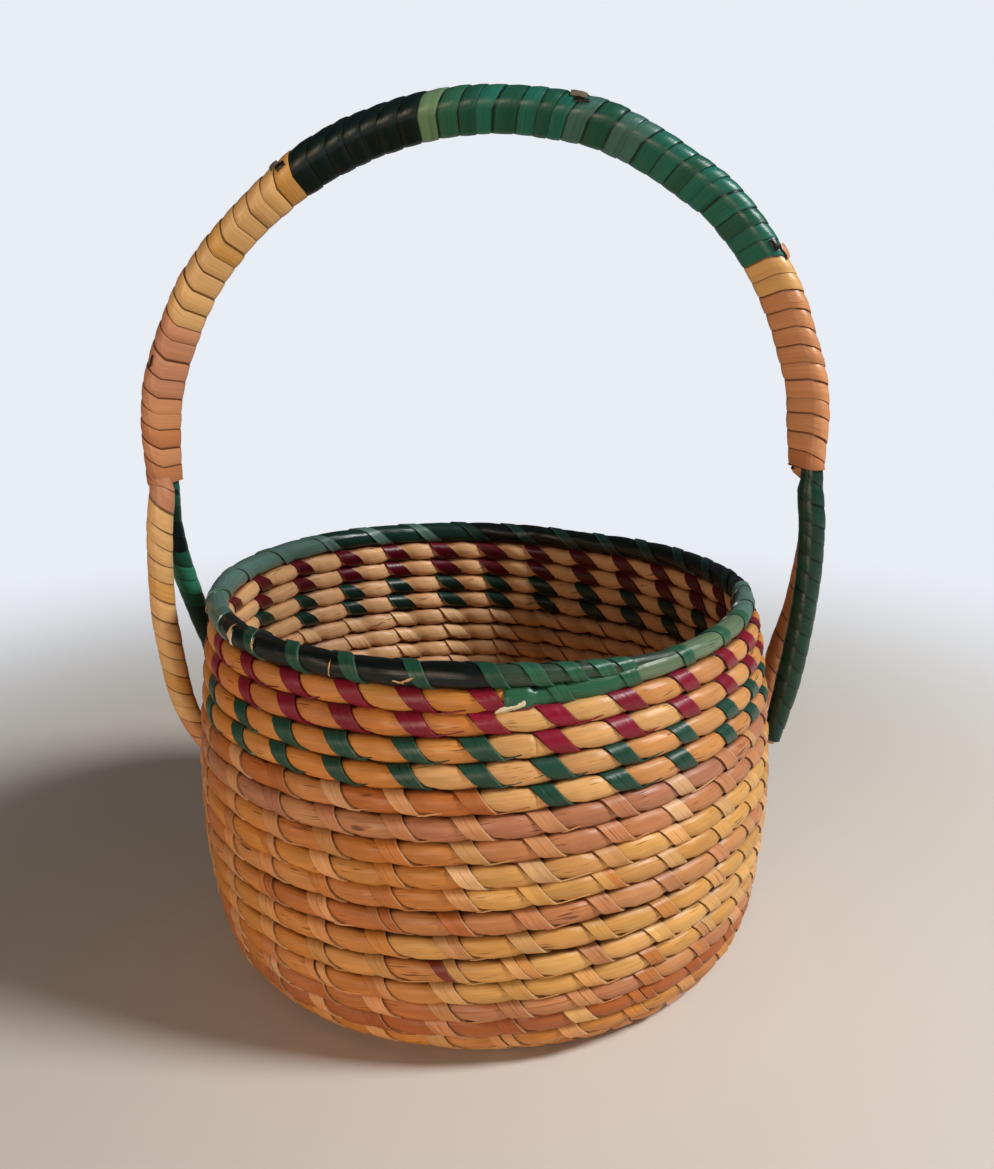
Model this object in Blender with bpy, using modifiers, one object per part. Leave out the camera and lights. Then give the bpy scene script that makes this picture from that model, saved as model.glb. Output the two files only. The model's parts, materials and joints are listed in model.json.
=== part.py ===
"""Coiled basket with a wrapped arch handle.

Metres, +Z up. The basket stands on z = 0, and the handle spans along X.
One bundle is wound from the middle of the base, up the wall, to a green rim
turn. Two rods form the handle. They lie together in the arch and part on each
side into two legs, whose tips lie against the wall.
"""

import math

import bmesh
import bpy
from mathutils import Vector

# Bundle coil
COIL_PITCH = 0.0094  # from the middle of one turn to the middle of the next
TURN_GAP = 0.00066
RIM_RADIUS = 0.1130  # middle of the bundle where the rim turn starts
RIM_TURNS = 1.085  # the rim turn laps over its own start
RIM_START_AZIMUTH = math.radians(-81)
CENTRE_RADIUS = 0.0062  # where the base coil starts
END_GAP = 0.0004  # between two coils that meet end to end
KNOT_GAP = 0.0005  # round the knot that fills the middle of the base
KNOT_POINTS = 16
KNOT_EDGE = 0.0010
KNOT_BEVEL_ANGLE = math.radians(60)
POINTS_PER_TURN = 17
STEPS_PER_POINT = 4
JOINT_CORNER_SHARE = 0.5  # a whole turn, where two coils meet, is midway between two corners
LEAST_SEGMENT_SHARE = 0.2
CORNER_SLACK = 1e-9

# Lean of the wall at each turn below the rim's start: degrees from straight
# down, positive where the wall draws in on its way down, 90 in the flat base
WALL_LEAN = (
    (-1.2, 9),
    (0, -2),
    (1, -13),
    (2, -7),
    (6, -4.5),
    (8, 0),
    (12, 7),
    (14, 14),
    (15, 34),
    (16, 72),
    (16.5, 90),
)
BASE_TURNS = 16  # the turn below the rim's start where the wall leaves the base
GREEN_BAND_TURNS = 4  # the green stitches start here
MAROON_BAND_TURNS = 2  # the maroon stitches start here
RIM_TAPER_TURNS = 0.12
RIM_TIP_SHARE = 0.4

# Handle rods
ROD_RADIUS = 0.0041
ROD_GAP = 0.0006
ROD_LEVEL_STEP = 0.0060  # the front rod lies this much further out in the arch
ARCH_STAND_OFF = 0.0151  # middle of the arch, outside the widest turn
ARCH_RISE = 0.0641  # centre of the arch above the rim's start
ARCH_DROP = math.radians(6)  # the arch goes on this far below its centre
ARCH_SHIFT = 0.0014  # the arch lies this much to the right of the basket
ARCH_POINTS = 44
LEG_POINTS = 11
LEG_SAMPLES = 100
SEAT_GAP = 0.0003
FOOT_TURNS = 7.2  # the tips end this many turns below the rim's start
TIP_SHARE = 0.85
TIP_LENGTH_SHARE = 0.10
START_LEAN = 0.04  # outwards, for each unit down
FOOT_LEAN = 0.45  # outwards, for each unit up
REAR_SPLAY = 0.35  # backwards, for each unit down
START_PULL_SHARE = 0.45
FOOT_PULL_SHARE = 0.36

# Azimuths of the four tips, towards the back from the side they stand on
FRONT_LEFT_FOOT = math.radians(0)
FRONT_RIGHT_FOOT = math.radians(0)
REAR_LEFT_FOOT = math.radians(18)
REAR_RIGHT_FOOT = math.radians(10)

# Wraps of flat leaf round the rods
WRAP_THICKNESS = 0.0006
WRAP_CLEARANCE = 0.0003
WRAP_GAP = 0.0008  # between two turns of one wrap, at the middle of the arch
ARCH_WRAP_PITCH = 0.0128
LEG_WRAP_PITCH = 0.0150
ARCH_WRAP_POINTS = 8
LEG_WRAP_POINTS = 6
LEG_WRAP_START_SHARE = 0.09
LEG_WRAP_END_SHARE = 0.93

LEAF_ROUGHNESS = 0.45
BUNDLE_ROUGHNESS = 0.5
ROD_ROUGHNESS = 0.6

STRAW = "#C98A45"
STRAW_DARK = "#B5713C"
STRAW_PALE = "#D9A860"
GREEN_STITCHED = "#B98A4E"
MAROON_STITCHED = "#B0744A"
RIM_GREEN = "#35584A"
DARK_GREEN = "#14302E"
MIDDLE_GREEN = "#2A6650"
TEAL_GREEN = "#2C6A58"
ROD_STRAW = "#A87B4B"

# Each wrap of the arch, from the left, with the angle at which it ends
ARCH_WRAPS = (
    ("arch_wrap_left_lower", math.radians(164), STRAW_DARK),
    ("arch_wrap_left_upper", math.radians(125), STRAW_PALE),
    ("arch_wrap_dark_green", math.radians(98.5), DARK_GREEN),
    ("arch_wrap_middle_green", math.radians(72), MIDDLE_GREEN),
    ("arch_wrap_teal_green", math.radians(36), TEAL_GREEN),
    ("arch_wrap_right_upper", math.radians(14), STRAW),
    ("arch_wrap_right_lower", -ARCH_DROP, STRAW_DARK),
)

COIL_RADIUS = (COIL_PITCH - TURN_GAP) / 2
HALF_FLAT = COIL_RADIUS * math.cos(math.radians(30))
SIX_SIDES_TURNED = math.radians(30)
ONE_CENTRE_SHARE = 0.1  # of a rod's radius: middles closer than this are one rod


def clear_scene():
    for thing in list(bpy.data.objects):
        bpy.data.objects.remove(thing)


def new_collection(name):
    collection = bpy.data.collections.new(name)
    bpy.context.scene.collection.children.link(collection)
    return collection


def linear(channel):
    if channel <= 0.04045:
        return channel / 12.92
    return ((channel + 0.055) / 1.055) ** 2.4


def leaf_material(name, colour, roughness):
    material = bpy.data.materials.new(name)
    material.use_nodes = True
    shader = material.node_tree.nodes["Principled BSDF"]
    channels = [int(colour[i:i + 2], 16) / 255 for i in (1, 3, 5)]
    shader.inputs["Base Color"].default_value = [linear(c) for c in channels] + [1]
    shader.inputs["Roughness"].default_value = roughness
    shader.inputs["Metallic"].default_value = 0
    return material


def between(table, at):
    """Reads a table of (place, value) pairs, with straight lines between them."""
    if at <= table[0][0]:
        return table[0][1]
    for (low, first), (high, second) in zip(table, table[1:]):
        if at <= high:
            return first + (second - first) * (at - low) / (high - low)
    return table[-1][1]


def walk_profile(turn, radius, height, step):
    """Follows the wall's lean by one small step of turns, down for a positive step."""
    lean = math.radians(between(WALL_LEAN, turn + step / 2))
    radius -= COIL_PITCH * step * math.sin(lean)
    height -= COIL_PITCH * step * math.cos(lean)
    return turn + step, radius, height


def coil_profile():
    """Turn, radius and height of the bundle's middle, from the rim's end to the centre."""
    step = 1 / (POINTS_PER_TURN * STEPS_PER_POINT)
    upper = []
    turn, radius, height = 0, RIM_RADIUS, 0
    while turn > -RIM_TURNS:
        turn, radius, height = walk_profile(turn, radius, height, -step)
        upper.append((turn, radius, height))
    lower = []
    turn, radius, height = 0, RIM_RADIUS, 0
    while radius > CENTRE_RADIUS:
        lower.append((turn, radius, height))
        turn, radius, height = walk_profile(turn, radius, height, step)
    floor = lower[-1][2] - HALF_FLAT
    return [(t, r, h - floor) for t, r, h in upper[::-1] + lower]


class Coil:
    """The whole bundle, read at any number of turns below the rim's start."""

    def __init__(self):
        rows = coil_profile()
        self.first = rows[0][0]
        self.last = rows[-1][0]
        self.step = rows[1][0] - rows[0][0]
        self.rows = rows

    def at(self, turn):
        place = (turn - self.first) / self.step
        low = min(max(int(place), 0), len(self.rows) - 2)
        share = min(max(place - low, 0), 1)
        _, r0, h0 = self.rows[low]
        _, r1, h1 = self.rows[low + 1]
        return r0 + (r1 - r0) * share, h0 + (h1 - h0) * share

    def azimuth(self, turn):
        return RIM_START_AZIMUTH - turn * math.tau

    def round_point(self, turn):
        radius, height = self.at(turn)
        angle = self.azimuth(turn)
        return Vector((radius * math.cos(angle), radius * math.sin(angle), height))

    def corner_place(self, turn):
        """Place of a turn among the route's corners."""
        return turn * POINTS_PER_TURN - JOINT_CORNER_SHARE

    def corner_turn(self, corner):
        return (corner + JOINT_CORNER_SHARE) / POINTS_PER_TURN

    def point(self, turn):
        """The bundle's middle on its many-sided route, straight between two corners."""
        place = self.corner_place(turn)
        corner = math.floor(place + CORNER_SLACK)
        share = place - corner
        upper = self.round_point(self.corner_turn(corner))
        lower = self.round_point(self.corner_turn(corner + 1))
        return upper.lerp(lower, share)

    def turns_between(self, upper, lower):
        """Turns at the two ends and at each corner between them."""
        radius_up, _ = self.at(upper)
        radius_down, _ = self.at(lower)
        upper += END_GAP / 2 / (math.tau * radius_up)
        lower -= END_GAP / 2 / (math.tau * radius_down)
        turns = [upper]
        first = math.ceil(self.corner_place(upper) + LEAST_SEGMENT_SHARE)
        last = math.floor(self.corner_place(lower) - LEAST_SEGMENT_SHARE)
        for corner in range(first, last + 1):
            turns.append(self.corner_turn(corner))
        return turns + [lower]

    def side_radius(self, azimuth, near_turn):
        """Distance from the axis to the bundle's middle at an azimuth, close to a turn."""
        turn = (RIM_START_AZIMUTH - azimuth) / math.tau
        turn += round(near_turn - turn)
        return self.point(turn).xy.length


def tube(name, points, radius, sides_resolution, material, shares=None, tilt=0, up_mode="Z_UP"):
    curve = bpy.data.curves.new(name, "CURVE")
    curve.dimensions = "3D"
    curve.twist_mode = up_mode
    curve.bevel_depth = radius
    curve.bevel_resolution = sides_resolution
    curve.use_fill_caps = True
    spline = curve.splines.new("POLY")
    spline.points.add(len(points) - 1)
    for index, point in enumerate(points):
        spline.points[index].co = (*point, 1)
        spline.points[index].tilt = tilt
        if shares:
            spline.points[index].radius = shares[index]
    spline.use_smooth = True
    curve.materials.append(material)
    thing = bpy.data.objects.new(name, curve)
    PARTS.objects.link(thing)
    return thing


def least_coil_gap(coil, turns):
    """Least distance between points one turn apart, less the bundle's thickness."""
    gaps = []
    for turn in turns:
        if turn + 1 <= turns[-1]:
            gaps.append((coil.point(turn) - coil.point(turn + 1)).length)
    return min(gaps) - 2 * COIL_RADIUS


def make_coil(coil, name, upper, lower, material, tilt):
    turns = coil.turns_between(upper, lower)
    points = [coil.point(turn) for turn in turns]
    tube(name, points, COIL_RADIUS, 1, material, tilt=tilt)
    if lower - upper > 1:
        print(f"{name}: least gap to itself {least_coil_gap(coil, turns) * 1000:.2f} mm")


def make_start_knot(coil, material):
    """The folded start of the bundle, in the hole that the first turn leaves."""
    start = coil.point(coil.last)
    across = coil.point(coil.last - 0.5)
    span = (across - start).length
    middle = (start + across) / 2
    radius = span / 2 - COIL_RADIUS - KNOT_GAP
    mesh = bmesh.new()
    bmesh.ops.create_cone(
        mesh,
        cap_ends=True,
        segments=KNOT_POINTS,
        radius1=radius,
        radius2=radius,
        depth=2 * (HALF_FLAT - KNOT_GAP),
    )
    bmesh.ops.bevel(
        mesh,
        geom=[edge for edge in mesh.edges if edge.calc_face_angle() > KNOT_BEVEL_ANGLE],
        offset=KNOT_EDGE,
        segments=1,
        profile=0.5,
        affect="EDGES",
        material=-1,
    )
    bmesh.ops.translate(mesh, verts=mesh.verts, vec=middle)
    data = bpy.data.meshes.new("base_start_knot")
    mesh.to_mesh(data)
    mesh.free()
    data.materials.append(material)
    PARTS.objects.link(bpy.data.objects.new("base_start_knot", data))


def make_rim(coil, material):
    """The rim turn, whose end thins out and settles on the turn that it laps."""
    turns = coil.turns_between(coil.first, 0)
    points = []
    shares = []
    for turn in turns:
        along = (turn - turns[0]) / RIM_TAPER_TURNS
        share = RIM_TIP_SHARE + (1 - RIM_TIP_SHARE) * min(along, 1)
        point = coil.point(turn)
        point.z -= COIL_RADIUS * (1 - share)
        points.append(point)
        shares.append(share)
    tube("rim_coil", points, COIL_RADIUS, 1, material, shares, SIX_SIDES_TURNED)
    gaps = []
    for turn, point, share in zip(turns, points, shares):
        if turn + 1 < 0:
            below = coil.point(turn + 1)
            gaps.append((point - below).length - COIL_RADIUS * (1 + share))
    print(f"rim_coil: least gap to itself {min(gaps) * 1000:.2f} mm")


class Handle:
    """Routes of the two rods: an arch in each, and a leg at each end."""

    def __init__(self, coil):
        self.coil = coil
        widest = max(radius for _, radius, _ in coil.rows)
        self.arch_radius = widest + ARCH_STAND_OFF
        _, rim_height = coil.at(0)
        self.centre_height = rim_height + ARCH_RISE
        apart = 2 * ROD_RADIUS + ROD_GAP
        self.depth_step = math.sqrt(apart ** 2 - ROD_LEVEL_STEP ** 2)

    def arch_point(self, rod, angle):
        """rod is -1 for the front rod, which lies further out, and 1 for the rear one."""
        radius = self.arch_radius - rod * ROD_LEVEL_STEP / 2
        return Vector((
            ARCH_SHIFT + radius * math.cos(angle),
            rod * self.depth_step / 2,
            self.centre_height + radius * math.sin(angle),
        ))

    def foot_point(self, side, azimuth_back):
        """Middle of a leg's tip, where the tip lies against the wall."""
        azimuth = azimuth_back if side > 0 else math.pi - azimuth_back
        radius = self.coil.side_radius(azimuth, FOOT_TURNS)
        radius += HALF_FLAT + SEAT_GAP + ROD_RADIUS * TIP_SHARE
        _, height = self.coil.at(FOOT_TURNS)
        return Vector((radius * math.cos(azimuth), radius * math.sin(azimuth), height))

    def leg_point(self, rod, side, share):
        """A cubic curve from the arch's end, at share 0, to the leg's tip, at share 1."""
        azimuth_back = FEET[rod, side]
        angle = -ARCH_DROP if side > 0 else math.pi + ARCH_DROP
        start = self.arch_point(rod, angle)
        foot = self.foot_point(side, azimuth_back)
        length = (foot - start).length
        down = Vector((side * START_LEAN, REAR_SPLAY if rod > 0 else 0, -1))
        outwards = Vector((foot.x, foot.y, 0)).normalized()
        up = Vector((outwards.x * FOOT_LEAN, outwards.y * FOOT_LEAN, 1)).normalized()
        first = start + down * length * START_PULL_SHARE
        second = foot + up * length * FOOT_PULL_SHARE
        rest = 1 - share
        return (
            start * rest ** 3
            + first * 3 * rest ** 2 * share
            + second * 3 * rest * share ** 2
            + foot * share ** 3
        )

    def rod_route(self, rod):
        points = []
        shares = []
        for side in (-1, 1):
            leg = []
            thickness = []
            for index in range(1, LEG_POINTS + 1):
                share = index / LEG_POINTS
                leg.append(self.leg_point(rod, side, share))
                near_tip = max(0, share - 1 + TIP_LENGTH_SHARE) / TIP_LENGTH_SHARE
                thickness.append(1 - (1 - TIP_SHARE) * near_tip)
            if side < 0:
                points += leg[::-1]
                shares += thickness[::-1]
                sweep = math.pi + 2 * ARCH_DROP
                for index in range(ARCH_POINTS + 1):
                    angle = math.pi + ARCH_DROP - sweep * index / ARCH_POINTS
                    points.append(self.arch_point(rod, angle))
                    shares.append(1)
            else:
                points += leg
                shares += thickness
        return points, shares


def wrap_point(centres, tangent, angle, radius):
    """A point of the loop round one rod, or round two side by side."""
    across = centres[1] - centres[0]
    if across.length < ROD_RADIUS * ONE_CENTRE_SHARE:
        across = Vector((0, 1, 0))
    across = (across - tangent * across.dot(tangent)).normalized()
    over = tangent.cross(across)
    centre = centres[1] if math.cos(angle) > 0 else centres[0]
    return centre + (across * math.cos(angle) + over * math.sin(angle)) * radius


def wind_strip(name, place, first_step, last_step, start, pitch, loop_points, material):
    """Winds a flat strip. place(distance) gives the rods' middles there and their direction.

    The steps count along one helix, whose first edge is at the distance start.
    """
    width = pitch - WRAP_GAP
    radius = (ROD_RADIUS + WRAP_CLEARANCE) / math.cos(math.pi / loop_points)
    near = []
    far = []
    for step in range(first_step, last_step + 1):
        angle = (step + 0.5) * math.tau / loop_points
        middle = start + width / 2 + step * pitch / loop_points
        for border, side in ((near, -1), (far, 1)):
            centres, tangent = place(middle + side * width / 2)
            border.append(wrap_point(centres, tangent, angle, radius))
    mesh = bmesh.new()
    step_layer = mesh.verts.layers.int.new("step")
    chain = []
    for index, point in enumerate(near):
        vertex = mesh.verts.new(point)
        vertex[step_layer] = index
        chain.append(vertex)
    edges = [mesh.edges.new(pair) for pair in zip(chain, chain[1:])]
    made = bmesh.ops.extrude_edge_only(mesh, edges=edges)
    for item in made["geom"]:
        if isinstance(item, bmesh.types.BMVert):
            item.co = far[item[step_layer]]
    mesh.normal_update()
    first = chain[0].link_faces[0]
    centres, _ = place(start + first_step * pitch / loop_points + width / 2)
    if first.normal.dot(first.calc_center_median() - (centres[0] + centres[1]) / 2) < 0:
        bmesh.ops.reverse_faces(mesh, faces=mesh.faces)
    data = bpy.data.meshes.new(name)
    mesh.to_mesh(data)
    mesh.free()
    data.materials.append(material)
    thing = bpy.data.objects.new(name, data)
    PARTS.objects.link(thing)
    shell = thing.modifiers.new("strip thickness", "SOLIDIFY")
    shell.thickness = WRAP_THICKNESS
    shell.offset = 1
    gaps = [(b - a).length for a, b in zip(far, near[loop_points:])]
    print(f"{name}: least gap to itself {min(gaps) * 1000:.2f} mm")


def make_arch_wraps(handle):
    """One strip after another along a single helix, each starting a step past the last."""
    def place(distance):
        angle = math.pi + ARCH_DROP - distance / handle.arch_radius
        tangent = Vector((math.sin(angle), 0, -math.cos(angle)))
        return [handle.arch_point(-1, angle), handle.arch_point(1, angle)], tangent

    length = (math.pi + 2 * ARCH_DROP) * handle.arch_radius
    loops = round(length / ARCH_WRAP_PITCH)
    pitch = length / loops
    first_step = 0
    for name, end_angle, colour in ARCH_WRAPS:
        end_loop = round((math.pi + ARCH_DROP - end_angle) * handle.arch_radius / pitch)
        last_step = end_loop * ARCH_WRAP_POINTS - 1
        if end_loop == loops:
            last_step -= ARCH_WRAP_POINTS
        material = leaf_material(name, colour, LEAF_ROUGHNESS)
        wind_strip(name, place, first_step, last_step, 0, pitch, ARCH_WRAP_POINTS, material)
        first_step = last_step + 1


def make_leg_wrap(handle, name, rod, side, colour):
    samples = [handle.leg_point(rod, side, index / LEG_SAMPLES) for index in range(LEG_SAMPLES + 1)]
    distances = [0]
    for first, second in zip(samples, samples[1:]):
        distances.append(distances[-1] + (second - first).length)
    shares = [(distance, index / LEG_SAMPLES) for index, distance in enumerate(distances)]

    def place(distance):
        share = between(shares, distance)
        ahead = handle.leg_point(rod, side, min(1, share + 1 / LEG_SAMPLES))
        behind = handle.leg_point(rod, side, max(0, share - 1 / LEG_SAMPLES))
        centre = handle.leg_point(rod, side, share)
        return [centre, centre], (ahead - behind).normalized()

    start = distances[-1] * LEG_WRAP_START_SHARE
    length = distances[-1] * LEG_WRAP_END_SHARE - start
    loops = round(length / LEG_WRAP_PITCH)
    last_step = (loops - 1) * LEG_WRAP_POINTS
    material = leaf_material(name, colour, LEAF_ROUGHNESS)
    wind_strip(name, place, 0, last_step, start, length / loops, LEG_WRAP_POINTS, material)


FEET = {
    (-1, -1): FRONT_LEFT_FOOT,
    (-1, 1): FRONT_RIGHT_FOOT,
    (1, -1): REAR_LEFT_FOOT,
    (1, 1): REAR_RIGHT_FOOT,
}

clear_scene()
PARTS = new_collection("coiled_basket")


def build():
    coil = Coil()
    straw = leaf_material("base straw", STRAW, BUNDLE_ROUGHNESS)
    make_coil(coil, "base_coil", BASE_TURNS, coil.last, straw, 0)
    make_start_knot(coil, leaf_material("start knot", STRAW_PALE, BUNDLE_ROUGHNESS))
    natural = leaf_material("natural wall", STRAW, BUNDLE_ROUGHNESS)
    make_coil(coil, "wall_coil_natural", GREEN_BAND_TURNS, BASE_TURNS, natural, SIX_SIDES_TURNED)
    green = leaf_material("green-stitched wall", GREEN_STITCHED, BUNDLE_ROUGHNESS)
    make_coil(coil, "wall_coil_green_band", MAROON_BAND_TURNS, GREEN_BAND_TURNS, green, SIX_SIDES_TURNED)
    maroon = leaf_material("maroon-stitched wall", MAROON_STITCHED, BUNDLE_ROUGHNESS)
    make_coil(coil, "wall_coil_maroon_band", 0, MAROON_BAND_TURNS, maroon, SIX_SIDES_TURNED)
    make_rim(coil, leaf_material("green rim", RIM_GREEN, LEAF_ROUGHNESS))

    handle = Handle(coil)
    rod_straw = leaf_material("rod straw", ROD_STRAW, ROD_ROUGHNESS)
    for name, rod in (("handle_rod_front", -1), ("handle_rod_rear", 1)):
        points, shares = handle.rod_route(rod)
        tube(name, points, ROD_RADIUS, 2, rod_straw, shares, up_mode="MINIMUM")
    make_arch_wraps(handle)
    make_leg_wrap(handle, "leg_wrap_front_left", -1, -1, STRAW_PALE)
    make_leg_wrap(handle, "leg_wrap_rear_left", 1, -1, MIDDLE_GREEN)
    make_leg_wrap(handle, "leg_wrap_front_right", -1, 1, DARK_GREEN)
    make_leg_wrap(handle, "leg_wrap_rear_right", 1, 1, STRAW_DARK)


build()
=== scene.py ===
"""Coiled basket with a wrapped arch handle, dressed in its leaf.

Metres, +Z up. The routes repeat the named sizes of the part's source. Every
surface is a strip of leaf: a sheath along the coiled bundle, the strips that
bind each row to the next, and the windings of the handle.
"""

import json
import math
import random
from bisect import bisect_left

import bmesh
import bpy
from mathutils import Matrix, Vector, noise

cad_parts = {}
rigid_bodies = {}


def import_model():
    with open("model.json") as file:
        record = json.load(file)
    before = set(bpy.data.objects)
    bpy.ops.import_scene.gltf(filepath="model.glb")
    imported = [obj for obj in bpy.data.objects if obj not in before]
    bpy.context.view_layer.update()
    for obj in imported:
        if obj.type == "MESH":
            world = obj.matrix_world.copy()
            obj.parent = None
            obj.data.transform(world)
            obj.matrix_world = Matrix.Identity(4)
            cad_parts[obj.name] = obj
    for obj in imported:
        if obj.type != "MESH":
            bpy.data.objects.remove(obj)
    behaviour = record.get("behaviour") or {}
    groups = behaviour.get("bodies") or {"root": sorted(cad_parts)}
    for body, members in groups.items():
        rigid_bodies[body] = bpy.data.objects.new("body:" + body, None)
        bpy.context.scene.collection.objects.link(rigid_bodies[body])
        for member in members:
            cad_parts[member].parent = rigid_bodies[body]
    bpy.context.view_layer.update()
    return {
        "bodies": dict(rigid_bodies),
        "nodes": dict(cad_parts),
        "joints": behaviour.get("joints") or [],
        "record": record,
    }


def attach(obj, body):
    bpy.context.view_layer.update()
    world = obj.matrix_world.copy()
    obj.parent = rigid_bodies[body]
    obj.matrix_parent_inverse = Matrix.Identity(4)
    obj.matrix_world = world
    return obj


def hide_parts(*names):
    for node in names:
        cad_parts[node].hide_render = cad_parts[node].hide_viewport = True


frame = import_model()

SLACK = 0.00001  # two places nearer than this are one
CRISP_ANGLE = math.radians(38)  # a strip's edges stay sharp above this
chance = random.Random(11)

# Bundle coil, as in the part's source
COIL_PITCH = 0.0094  # from the middle of one row to the middle of the next
COIL_RADIUS = 0.00437
COIL_FLAT = COIL_RADIUS * math.cos(math.radians(30))  # from its middle to a flat of the six-sided solid
RIM_RADIUS = 0.1130
RIM_TURNS = 1.085
RIM_START_AZIMUTH = math.radians(-81)
CENTRE_RADIUS = 0.0062
ROUTE_STEPS = 68  # in each turn
WALL_LEAN = (
    (-1.2, 9), (0, -2), (1, -13), (2, -7), (6, -4.5), (8, 0), (12, 7), (14, 14),
    (15, 34), (16, 72), (16.5, 90),
)
RIM_TUCK_TURNS = 0.0145  # the rim's leaf starts this far below, under the first stitch
BASE_TURNS = 16
GREEN_BAND_TURNS = 4
MAROON_BAND_TURNS = 2
RIM_TAPER_TURNS = 0.12
RIM_TIP_SHARE = 0.4

# How many rows the wall stands above a level coil, at each azimuth in degrees:
# the weaver's rows climb a little at the front right and sag back behind it
ROW_CLIMB = (
    (-180, 0), (-150, -0.04), (-115, 0), (-100, 0.12), (-90, 0.20), (-75, 0.36),
    (-65, 0.46), (-50, 0.58), (-40, 0.66), (-30, 0.68), (-20, 0.62), (-10, 0.48),
    (0, 0.33), (10, 0.18), (20, 0.05), (33, -0.06), (50, -0.17), (66, -0.24),
    (80, -0.12), (90, -0.06), (117, 0), (145, 0.12), (180, 0),
)
ROW_CLIMB_SHARE = ((0, 0.3), (0.25, 1), (17, 1), (21, 0))  # by turn
# How many rows each turn lies below a level coil: the rows aren't all equally thick
ROW_SAG = (
    (-1.1, 0.12), (3, 0.14), (5, 0.19), (7, 0.14), (8, 0.04), (9, 0.10), (10, 0.18),
    (11, 0.30), (12, 0.33), (13, 0.25), (14, 0.12), (15, 0),
)
RIM_CLIMB = (
    (-0.82, 0), (-0.75, 0.04), (-0.66, 0.08), (-0.60, 0.05), (-0.50, -0.02),
    (-0.475, -0.04), (-0.447, -0.10), (-0.406, -0.25), (-0.369, -0.15), (-0.336, -0.05),
    (-0.31, 0), (-0.28, 0.06), (-0.25, 0.17), (-0.225, 0.32), (-0.20, 0.46),
    (-0.17, 0.58), (-0.142, 0.66), (-0.114, 0.62), (-0.086, 0.55), (-0.058, 0.44),
    (-0.03, 0.20), (0, 0.06),
)
# How far the rim is drawn in at the right
RIM_PULL = ((-0.37, 0), (-0.27, 0.0022), (-0.20, 0.0026), (-0.12, 0.0012), (-0.05, 0))
RIM_SIZE = ((-0.25, 1), (-0.142, 0.88), (-0.058, 0.86), (0, 0.76))  # share of full thickness

# The bundle in its sheath of leaf
SHEATH_DEPTH = 0.0043  # from the bundle's middle out to the face of the wall
BASE_DEPTH = 0.0030
SHEATH_HEIGHT = 0.0047
SHEATH_ROUNDNESS = 0.9
SHEATH_POINTS = 18
SHEATH_COLUMN = 0.00175
SHEATH_BULGE = 0.00042  # half way between two stitches
SHEATH_PINCH = 0.00048  # under a stitch
RIM_FULLNESS = 0.35  # share of the wall's pinch and bulge
PINCH_REACH = (0.0046, 0.0090)  # full pinch to full bulge, from the stitch's middle
INSIDE_REACH = (0.0062, 0.0108)
WOBBLE_LENGTH = 0.045
WOBBLE_OUT = 0.00060
WOBBLE_UP = 0.00050
WOBBLE_OUT_SLICE = 3  # the two wobbles are read at different places of one noise
WOBBLE_UP_SLICE = 9
FINE_WOBBLE_LENGTH = 0.012
FINE_WOBBLE = 0.00024
FINE_WOBBLE_STEP = 3  # from one row to the next

# Stitches: round the bundle in degrees, from its top over the outside
STITCHES_PER_TURN = 26.95
# Degrees from one stitch to the next by azimuth: they are longest at the back left
STITCH_SPACING = (
    (-180, 16.9), (-160, 16.9), (-148, 15.5), (-138, 12.7), (-125, 12.4), (-90, 12.2),
    (-70, 12.9), (-45, 13.5), (-38, 13.0), (-30, 10.5), (-20, 11.5), (0, 12.4),
    (85, 12.4), (97, 13.4), (118, 13.6), (130, 14.4), (147, 15.8), (165, 16.8),
    (180, 16.9),
)
FIRST_STITCH = 0.0211  # turns
LAST_RIM_BAND = -0.01
RIM_END = 0.03  # past the rim's leaf, where its last span of tone ends
FIRST_RIM_BAND = -0.965
TAIL_BANDS = (-1.0492, -1.0369, -1.0208, -1.003, -0.982)
COLUMN_STEP = 0.0005
BASE_STITCH_SPACING = 0.0235
CENTRE_STITCH_SPACING = 0.0120
BASE_SPACING_PACE = 2  # the spacing is full at the rim's radius over this
STITCH_STOPS = (-20, 12, 34, 58, 90, 118, 140, 156, 168, 180, 205, 222, 245, 270, 295, 318, 340, 375)
STITCH_PATH = (
    (-20, -0.0046), (0, -0.0042), (30, -0.0034), (60, -0.0019), (90, 0), (120, 0.0021),
    (145, 0.0042), (162, 0.0062), (172, 0.0080), (180, 0.0096), (192, 0.0070),
    (212, 0.0022), (240, 0.0040), (270, 0.0060), (300, 0.0078), (330, 0.0100),
    (360, 0.0116), (375, 0.0120),
)
STITCH_WIDTH = (
    (-20, 0.0080), (0, 0.0092), (30, 0.0096), (120, 0.0094), (145, 0.0088),
    (160, 0.0074), (170, 0.0046), (180, 0.0014), (205, 0.0030), (222, 0.0092),
    (245, 0.0124), (285, 0.0130), (318, 0.0110), (340, 0.0086), (375, 0.0050),
)
BAND_STOPS = (-172, -145, -120, -98, -75, -52, -30, 0, 26, 48, 70, 95, 120, 142, 160, 172, 181)
BAND_PATH = (
    (-172, -0.0195), (-135, -0.0165), (-90, -0.0125), (-45, -0.0080), (0, -0.0036),
    (45, -0.0017), (90, 0), (120, 0.0014), (145, 0.0028), (162, 0.0042), (172, 0.0058),
    (180, 0.0070),
)
BAND_WIDTH = (
    (-172, 0.0052), (-150, 0.0072), (-90, 0.0078), (0, 0.0070), (90, 0.0065),
    (145, 0.0056), (162, 0.0045), (172, 0.0028), (180, 0.0012),
)
# Height of each line of a stitch above the sheath, from its left edge to its right: the
# strip's own thickness shows at both edges
STITCH_LIFTS = (-0.0007, 0.00034, 0.00042, 0.00052, -0.0006)
STITCH_LINES = (0, 0.045, 0.5, 0.955, 1)  # share of the width
NATURAL_WIDTH = 0.93  # share of the dyed strips' width

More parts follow.
